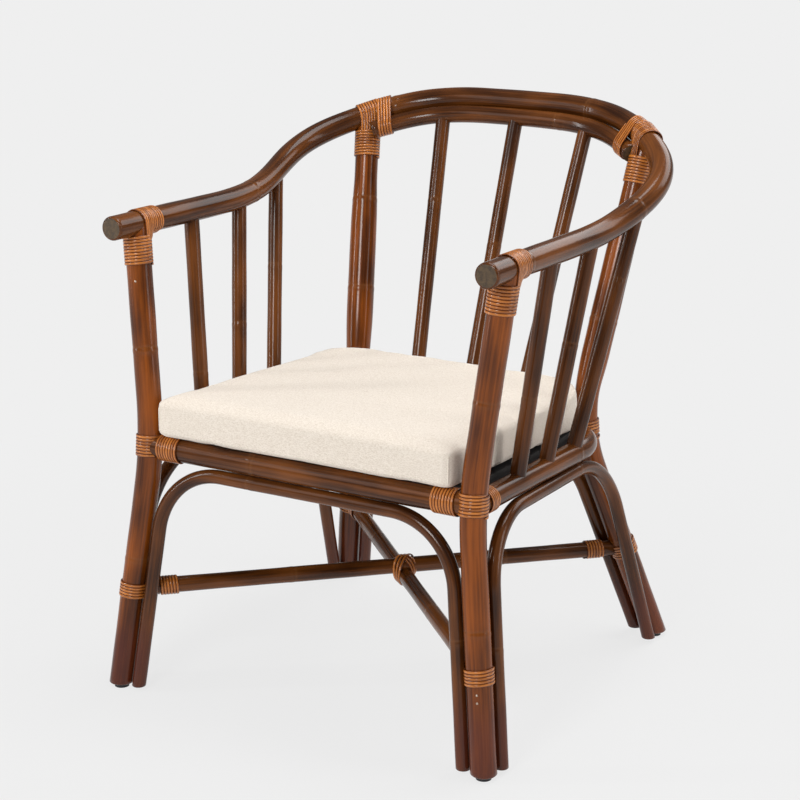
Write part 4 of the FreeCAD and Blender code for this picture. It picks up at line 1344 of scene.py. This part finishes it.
@dataclass
class Cushion:
    """Box cushion blown up by cloth simulation, pinched by the front posts and sewn at its front corners."""

    layout: Layout
    finish: bpy.types.Material
    base_and_shade_finish: bpy.types.Material
    front_half: float = 232.0
    rear_half: float = 219.0
    front_edge: float = 266.0
    rear_edge: float = 166.0
    front_corner: float = 12.0
    rear_corner: float = 72.0
    thickness: float = 48.0
    rear_fullness: float = 0.15
    crown: float = 4.0
    shrink: float = 3.0
    edge: float = 4.5
    voxel: float = 4.5
    swell: float = 4.5
    sag: float = 3.4
    side_sag: float = 4.5
    sag_end: Pair = (80.0, 135.0)
    bindings_beside: Pair = (165.0, 188.0)
    bindings_end: Pair = (-225.0, -200.0)
    hoop_beside: Pair = (178.0, 212.0)
    hoop_start: Pair = (-195.0, -170.0)
    hoop_end: Pair = (30.0, 90.0)
    pressure: float = 4.0
    frames: int = 20
    seam_radius: float = 1.1
    seam_points: int = 26
    base_front: float = 222.0
    base_rear: float = 128.0
    base_inset: float = 7.0
    base_skin: float = 0.8
    # The hang lowers the black cloth beside the hoop as a dark sheet, painted shade under the seat.
    shade_fill_hang: float = 12.0
    shade_fill_hang_from: Pair = (197.0, 205.0)
    base_ease: float = 12.0

    def rest_height(self) -> float:
        """Return the height of the cushion's underside at the front rail, in millimetres."""
        lay = self.layout
        return lay.front_seat[2] + lay.front_rail_radius + lay.strip_diameter + 3 * lay.clearance

    def slope(self) -> float:
        """Return the rise of the cushion's underside for each millimetre towards the rear."""
        lay = self.layout
        rear = lay.hoop_bow[2] + lay.hoop_radius + lay.clearance
        return (rear - self.rest_height()) / (lay.hoop_bow[1] - lay.front_seat[1])

    def outline(self, inset: float, count: int = 40) -> Array:
        """Return the plan's rounded outline in millimetres, drawn in by an inset."""
        front, rear = -self.front_edge + inset, self.rear_edge - inset
        corners = np.array([[-self.front_half + inset, front], [self.front_half - inset, front],
                            [self.rear_half - inset, rear], [-self.rear_half + inset, rear]])
        radii = (self.front_corner, self.front_corner, self.rear_corner, self.rear_corner)
        found = []
        for index, radius in enumerate(radii):
            before = unit(corners[index - 1] - corners[index])
            after = unit(corners[(index + 1) % 4] - corners[index])
            half = (math.pi - math.acos(float(before @ after))) / 2
            bisector, chord = unit(before + after), unit(after - before)
            centre = corners[index] + bisector * radius / math.cos(half)
            sweep = np.linspace(-half, half, count)[:, None]
            found.append(centre + radius * (chord * np.sin(sweep) - bisector * np.cos(sweep)))
        return np.concatenate(found)

    def underside(self, plan: Array) -> Array:
        """Return the underside's height at plan points, all in millimetres.

        The underside slopes from the front bindings to the hoop. Between the bindings and before the hoop's
        rear it sags by a fixed depth, so that it lies on the front rail, and a little more beside the hoop.

        Args:
            plan: points whose first two columns are x and y.

        Returns:
            A height for each point.
        """
        across, along = np.abs(plan[..., 0]), plan[..., 1]
        before_hoop = 1 - soft_step(along, *self.sag_end)
        on_bindings = soft_step(across, *self.bindings_beside) * (1 - soft_step(along, *self.bindings_end))
        beside_hoop = soft_step(across, *self.hoop_beside) * soft_step(along, *self.hoop_start)
        beside_hoop = beside_hoop * (1 - soft_step(along, *self.hoop_end))
        level = self.rest_height() + self.slope() * (along - self.layout.front_seat[1])
        return level - self.sag * before_hoop * (1 - on_bindings) - self.side_sag * beside_hoop

    def placed(self, plan: Array, height: float) -> Array:
        """Return plan points at a height over the underside in the shared frame, fuller towards the rear."""
        depth = (plan[..., 1] + self.front_edge) / (self.front_edge + self.rear_edge)
        level = self.underside(plan) + height * (1 + self.rear_fullness * depth)
        return np.stack([plan[..., 0], plan[..., 1], level], axis=-1) * MM + self.layout.set_back

    def block(self) -> Patch:
        """Return the slack cover before it is blown up: stacked outlines with rounded edges."""
        levels = [(0.0, self.edge), (0.3 * self.edge, 0.3 * self.edge), (self.edge, 0.0),
                  (self.thickness - self.edge, 0.0), (self.thickness - 0.3 * self.edge, 0.3 * self.edge),
                  (self.thickness, self.edge), (self.thickness + 0.6 * self.crown, 0.35 * self.rear_corner)]
        rings = [self.placed(self.outline(self.shrink + draw), level) for level, draw in levels]
        return Patch.plain(np.stack(rings)[:, ::-1])

    def blown(self, piece: bpy.types.Object) -> None:
        """Remesh a piece, blow it up as cloth, hold every point within the swell and lay it on the seat."""
        remesh = piece.modifiers.new("voxels", "REMESH")
        remesh.mode = "VOXEL"
        remesh.voxel_size = self.voxel * MM
        self.apply(piece, remesh)
        rest = self.positions(piece)
        cloth = piece.modifiers.new("cover", "CLOTH")
        cloth.settings.quality = 5
        cloth.settings.mass = 0.25
        cloth.settings.tension_stiffness = 18.0
        cloth.settings.compression_stiffness = 18.0
        cloth.settings.shear_stiffness = 6.0
        cloth.settings.bending_stiffness = 0.8
        cloth.settings.use_pressure = True
        cloth.settings.uniform_pressure_force = self.pressure
        cloth.settings.effector_weights.gravity = 0.0
        cloth.collision_settings.use_collision = False
        cloth.collision_settings.use_self_collision = False
        scene = bpy.context.scene
        for number in range(1, self.frames + 1):
            scene.frame_set(number)
        self.apply(piece, cloth)
        scene.frame_set(1)
        moved = self.positions(piece) - rest
        reach = np.linalg.norm(moved, axis=1, keepdims=True)
        limit = self.swell * MM
        held = rest + moved * limit * np.tanh(reach / limit) / np.maximum(reach, 1e-9)
        plan = (held - self.layout.set_back) / MM
        held[:, 2] = np.maximum(held[:, 2], self.underside(plan) * MM)
        self.set_positions(piece, self.clear_of_posts(held))

    def clear_of_posts(self, points: Array) -> Array:
        """Return points pushed out of the two front posts, by which the cushion is pinched."""
        lay = self.layout
        room, ease = (lay.post_radius + 0.5) * MM, 4 * MM
        for side in (-1, 1):
            low, high = on_side(lay.front_line(), side)[1:]
            axis = low + (high - low) * (points[:, 2:] - low[2]) / (high[2] - low[2])
            away = (points - axis) * np.array([1.0, 1.0, 0.0])
            reach = np.maximum(np.linalg.norm(away, axis=1, keepdims=True), 1e-9)
            pushed = room + ease * np.logaddexp(0.0, (reach - room) / ease)
            points = points + away * (pushed / reach - 1)
        return points

    @staticmethod
    def apply(piece: bpy.types.Object, modifier: bpy.types.Modifier) -> None:
        """Apply one modifier to a piece."""
        with bpy.context.temp_override(object=piece, active_object=piece, selected_objects=[piece]):
            bpy.ops.object.modifier_apply(modifier=modifier.name)

    @staticmethod
    def positions(piece: bpy.types.Object) -> Array:
        """Return a piece's points."""
        flat = np.empty(len(piece.data.vertices) * 3, dtype=np.float32)
        piece.data.vertices.foreach_get("co", flat)
        return flat.reshape(-1, 3).astype(float)

    @staticmethod
    def set_positions(piece: bpy.types.Object, points: Array) -> None:
        """Put a piece's points where they are given."""
        piece.data.vertices.foreach_set("co", points.astype(np.float32).reshape(-1))
        piece.data.update()

    def corner_seam(self, cover: Array, side: int) -> Patch:
        """Return a thin raised seam down one front corner of the finished cover.

        At each of several heights it passes the cover's farthest point towards the corner; the line is then
        smoothed and a small circle is carried along it.

        Args:
            cover: the finished cover's points.
            side: +1 right or -1 left.

        Returns:
            The seam's surface.
        """
        plan = (cover - self.layout.set_back) / MM
        height = plan[:, 2] - self.underside(plan)
        towards = 0.7 * side * plan[:, 0] - plan[:, 1]
        levels = np.linspace(0.08, 0.94, self.seam_points) * self.thickness
        near = np.abs(height[None, :] - levels[:, None]) < self.voxel
        path = cover[np.argmax(np.where(near, towards[None, :], -np.inf), axis=1)]
        for _ in range(4):
            path[1:-1] = 0.25 * path[:-2] + 0.5 * path[1:-1] + 0.25 * path[2:]
        angle = np.linspace(0.0, 2 * math.pi, 8, endpoint=False)[:, None]
        section = self.seam_radius * MM * (ACROSS * np.cos(angle) - DEPTH * np.sin(angle))
        return Patch.plain(path[:, None] + section[None])

    def half_width(self, along: Array) -> Array:
        """Return the plan's half width at distances towards the rear, with the rear corners' rounding."""
        share = (along + self.front_edge) / (self.front_edge + self.rear_edge)
        straight = self.front_half + (self.rear_half - self.front_half) * share
        into_corner = np.clip(along - (self.rear_edge - self.rear_corner), 0.0, self.rear_corner)
        return straight - self.rear_corner + np.sqrt(self.rear_corner ** 2 - into_corner ** 2)

    def base(self) -> Patch:
        """Return the black cloth under the cushion, which hangs down between the outer slats and the hoop;
        the hanging part is a dark sheet standing in for the shade under the seat.

        A section across the seat is a thin loop: its upper side lies in the cushion, its lower side hangs by
        a depth that grows from the outer slats to the edge. The section is carried from front to rear.

        Returns:
            The cloth's surface.
        """
        along = np.linspace(-self.base_front, self.base_rear, 60)[:, None]
        swing = np.sin(np.linspace(-math.pi / 2, math.pi / 2, 81))[None, :]
        across = swing * (self.half_width(along) - self.base_inset)
        plan = np.stack([across, along + 0 * across], axis=-1)
        from_front = soft_step(along, -self.base_front, self.base_ease - self.base_front)
        hang = soft_step(np.abs(across), *self.shade_fill_hang_from) * from_front
        under = self.underside(plan)
        lower = under - self.base_skin - self.shade_fill_hang * hang
        upper = under + self.base_skin
        loop = np.concatenate([np.stack([across, plan[..., 1], lower], axis=-1),
                               np.stack([across, plan[..., 1], upper], axis=-1)[:, -2:0:-1]], axis=1)
        return Patch.plain(loop * MM + self.layout.set_back)

    def build(self) -> None:
        """Make the cushion, its seams and its black base cloth, which also stands in for the shade under the
        seat.
        """
        piece = mesh_piece("cushion", [self.block()], [self.finish])
        for name in ("grain", "ring"):
            piece.data.attributes.remove(piece.data.attributes[name])
        self.blown(piece)
        smooth = piece.modifiers.new("smooth", "SUBSURF")
        smooth.levels = 1
        smooth.render_levels = 1
        self.apply(piece, smooth)
        piece.data.polygons.foreach_set("use_smooth", np.ones(len(piece.data.polygons), dtype=bool))
        seat_piece(piece, Body.CUSHION, ["cushion_cover", "cushion_foam"])
        cover = self.positions(piece)
        seams = [self.corner_seam(cover, side) for side in (-1, 1)]
        seat_piece(mesh_piece("cushion_seams", seams, [self.finish]), Body.CUSHION, [])
        # Black underside cloth; where it hangs low it is painted shade filling the gap under the seat.
        base = mesh_piece("cushion_base_and_shade", [self.base()], [self.base_and_shade_finish])
        seat_piece(base, Body.CUSHION, [])


# Small things and the room

@dataclass
class NailHeads:
    """Small bright nail heads that hold the bindings' ends."""

    layout: Layout
    finish: bpy.types.Material
    radius: float = 1.5 * MM
    height: float = 0.8 * MM
    facing: Array = field(default_factory=lambda: np.array([0.28, -1.0, 0.0]))
    leg_heights: Pair = (100.0, 110.0)
    neck_height: float = 565.0

    def dome(self, place: Array, outwards: Array) -> Patch:
        """Return a low dome: rings of radius x cos raised along the outward direction by height x sin."""
        outwards = unit(outwards)
        first = unit(np.cross(outwards, UP))
        second = np.cross(outwards, first)
        climb = np.linspace(-0.4, 1.45, 7)[:, None, None]
        angle = np.linspace(0.0, 2 * math.pi, 14, endpoint=False)
        spoke = (first * np.cos(angle)[:, None] + second * np.sin(angle)[:, None])[None]
        points = place + self.radius * np.cos(climb) * spoke + outwards * self.height * np.sin(climb)
        return Patch.plain(points[:, ::-1])

    def build(self) -> None:
        """Set two nails on the right front leg under its rings and one under the left front neck coil."""
        lay = self.layout
        patches = []
        right, left = lay.front_line(), mirrored(lay.front_line())
        places = [(right[:2], height) for height in self.leg_heights] + [(left[1:], self.neck_height)]
        for run, height in places:
            along = unit(run[1] - run[0])
            outwards = unit(self.facing - along * float(self.facing @ along))
            patches.append(self.dome(at_height(run, height * MM) + outwards * lay.post_radius * MM, outwards))
        piece = mesh_piece("nail_heads", patches, [self.finish])
        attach(piece, Body.FRAME.value)
        log.info("%s: %d faces on frame", piece.name, len(piece.data.polygons))


@dataclass(frozen=True)
class Lamp:
    """One rectangular soft lamp."""

    name: str
    place: Triple
    size: Pair
    watts: float

    def hang(self, aim: Triple) -> None:
        """Hang the lamp so that it looks at a point."""
        data = bpy.data.lights.new(self.name, "AREA")
        data.shape = "RECTANGLE"
        data.size, data.size_y = self.size
        data.energy = self.watts
        lamp = bpy.data.objects.new(self.name, data)
        lamp.location = self.place
        lamp.rotation_euler = (Vector(aim) - Vector(self.place)).to_track_quat("-Z", "Y").to_euler()
        bpy.context.scene.collection.objects.link(lamp)


@dataclass
class Studio:
    """Pale floor, soft lamps and the photograph's camera."""

    layout: Layout
    backdrop: float = 0.863
    shadow_share: float = 0.12
    shadow_reach: Pair = (0.5, 1.3)
    world_strength: float = 0.22
    azimuth: float = 31.0
    elevation: float = 15.4
    distance: float = 2.967
    lens: float = 97.2
    sensor: float = 36.0
    shift: Pair = (-0.0025, -0.014)
    target_height: float = 0.400
    floor_size: float = 30.0
    lamp_aim: Triple = (0.0, 0.0, 0.4)
    lamps: tuple[Lamp, ...] = (
        Lamp("front_left_lamp", (-1.5, -2.3, 1.9), (0.9, 1.6), 6.0),
        Lamp("front_lamp", (0.20, -2.5, 1.60), (0.70, 0.80), 28.0),
        Lamp("left_strip_lamp", (-1.9, -1.5, 1.2), (0.14, 1.7), 15.0),
        Lamp("overhead_lamp", (0.3, 0.3, 2.6), (1.3, 1.3), 30.0),
        Lamp("rear_lamp", (0.8, 2.3, 2.0), (2.4, 1.2), 26.0),
        Lamp("right_lamp", (2.4, 0.3, 1.2), (0.8, 1.8), 15.0))

    def floor(self) -> None:
        """Lay a large pale floor that shows its own even tone to the camera and keeps a soft shadow."""
        size = self.floor_size
        corners = [(-size, -size, 0), (size, -size, 0), (size, size, 0), (-size, size, 0)]
        mesh = bpy.data.meshes.new("floor")
        mesh.from_pydata(corners, [], [(0, 1, 2, 3)])
        shader = Shader("pale_floor")
        seen = shader.node("ShaderNodeLightPath", {}, {}, "Is Camera Ray")
        glossy = Signal(shader, seen.socket.node.outputs["Is Glossy Ray"])
        through = Signal(shader, seen.socket.node.outputs["Is Transmission Ray"])
        matt = shader.node("ShaderNodeBsdfDiffuse", {}, {"Color": (0.80, 0.80, 0.80, 1.0)})
        tone = (self.backdrop, self.backdrop, self.backdrop, 1.0)
        even = shader.node("ShaderNodeEmission", {}, {"Color": tone, "Strength": 1.0})
        away = shader.node("ShaderNodeVectorMath", {"operation": "LENGTH"}, {0: shader.place()}, "Value")
        kept = self.shadow_share * (1.0 - shader.steps(away, *self.shadow_reach))
        share = shader.math("MINIMUM", seen + glossy + through, 1.0) * (1.0 - kept)
        surface = shader.node("ShaderNodeMixShader", {}, {0: share, 1: matt, 2: even})
        mesh.materials.append(shader.close(surface))
        floor = bpy.data.objects.new("floor", mesh)
        bpy.context.scene.collection.objects.link(floor)

    def light(self) -> None:
        """Set the room's even light and hang the lamps, one of them narrow for the lacquer's highlights."""
        world = bpy.data.worlds.new("studio")
        bpy.context.scene.world = world
        world.use_nodes = True
        ground = world.node_tree.nodes["Background"]
        ground.inputs["Color"].default_value = (1.0, 1.0, 1.0, 1.0)
        ground.inputs["Strength"].default_value = self.world_strength
        for lamp in self.lamps:
            lamp.hang(self.lamp_aim)

    def camera(self) -> None:
        """Place the camera at the photograph's viewing angle."""
        turn, rise = math.radians(self.azimuth), math.radians(self.elevation)
        back = Vector((math.sin(turn) * math.cos(rise), -math.cos(turn) * math.cos(rise), math.sin(rise)))
        data = bpy.data.cameras.new("camera")
        data.lens = self.lens
        data.sensor_width = self.sensor
        data.shift_x, data.shift_y = self.shift
        camera = bpy.data.objects.new("camera", data)
        target = Vector((0.0, float(self.layout.set_back[1]), self.target_height))
        camera.location = target + back * self.distance
        camera.rotation_euler = (-back).to_track_quat("-Z", "Y").to_euler()
        bpy.context.scene.collection.objects.link(camera)
        bpy.context.scene.camera = camera

    def build(self) -> None:
        """Make the floor, the lamps and the camera."""
        self.floor()
        self.light()
        self.camera()
        bpy.context.scene.view_settings.view_transform = "Standard"


def dress_glides() -> None:
    """Give the foot glides, which show as their own solids, a black rubber finish."""
    rubber = PlainFinish(Slot.GLIDE.value, (0.012, 0.012, 0.013, 1.0), 0.55).material()
    for name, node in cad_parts.items():
        if name.startswith("glide_"):
            node.data.materials.clear()
            node.data.materials.append(rubber)
            log.info("%s: solid shown in black rubber", name)


def main() -> None:
    """Build the chair's looks piece by piece."""
    logging.basicConfig(level=logging.INFO, format="%(name)s: %(message)s")
    layout = Layout()
    brown = PoleFinish("rattan_pole_brown", dark=(0.030, 0.0085, 0.0022, 1.0),
                       warm=(0.185, 0.056, 0.0100, 1.0))
    poles = PoleFrame(layout, PoleFinish().material(), brown.material(), EndGrainFinish().material())
    poles.build()
    Bindings(layout, poles, PeelFinish().material()).build()
    # Black cloth for the cushion's underside, also used as painted shade where it hangs under the seat.
    base_cloth_and_shade = PlainFinish("cushion_base_cloth_and_shade", (0.014, 0.012, 0.011, 1.0), 0.9)
    Cushion(layout, LinenFinish().material(), base_cloth_and_shade.material()).build()
    NailHeads(layout, PlainFinish("nail_steel", (0.55, 0.45, 0.36, 1.0), 0.3, 0.9).material()).build()
    dress_glides()
    Studio(layout).build()


if __name__ == "__main__":
    main()
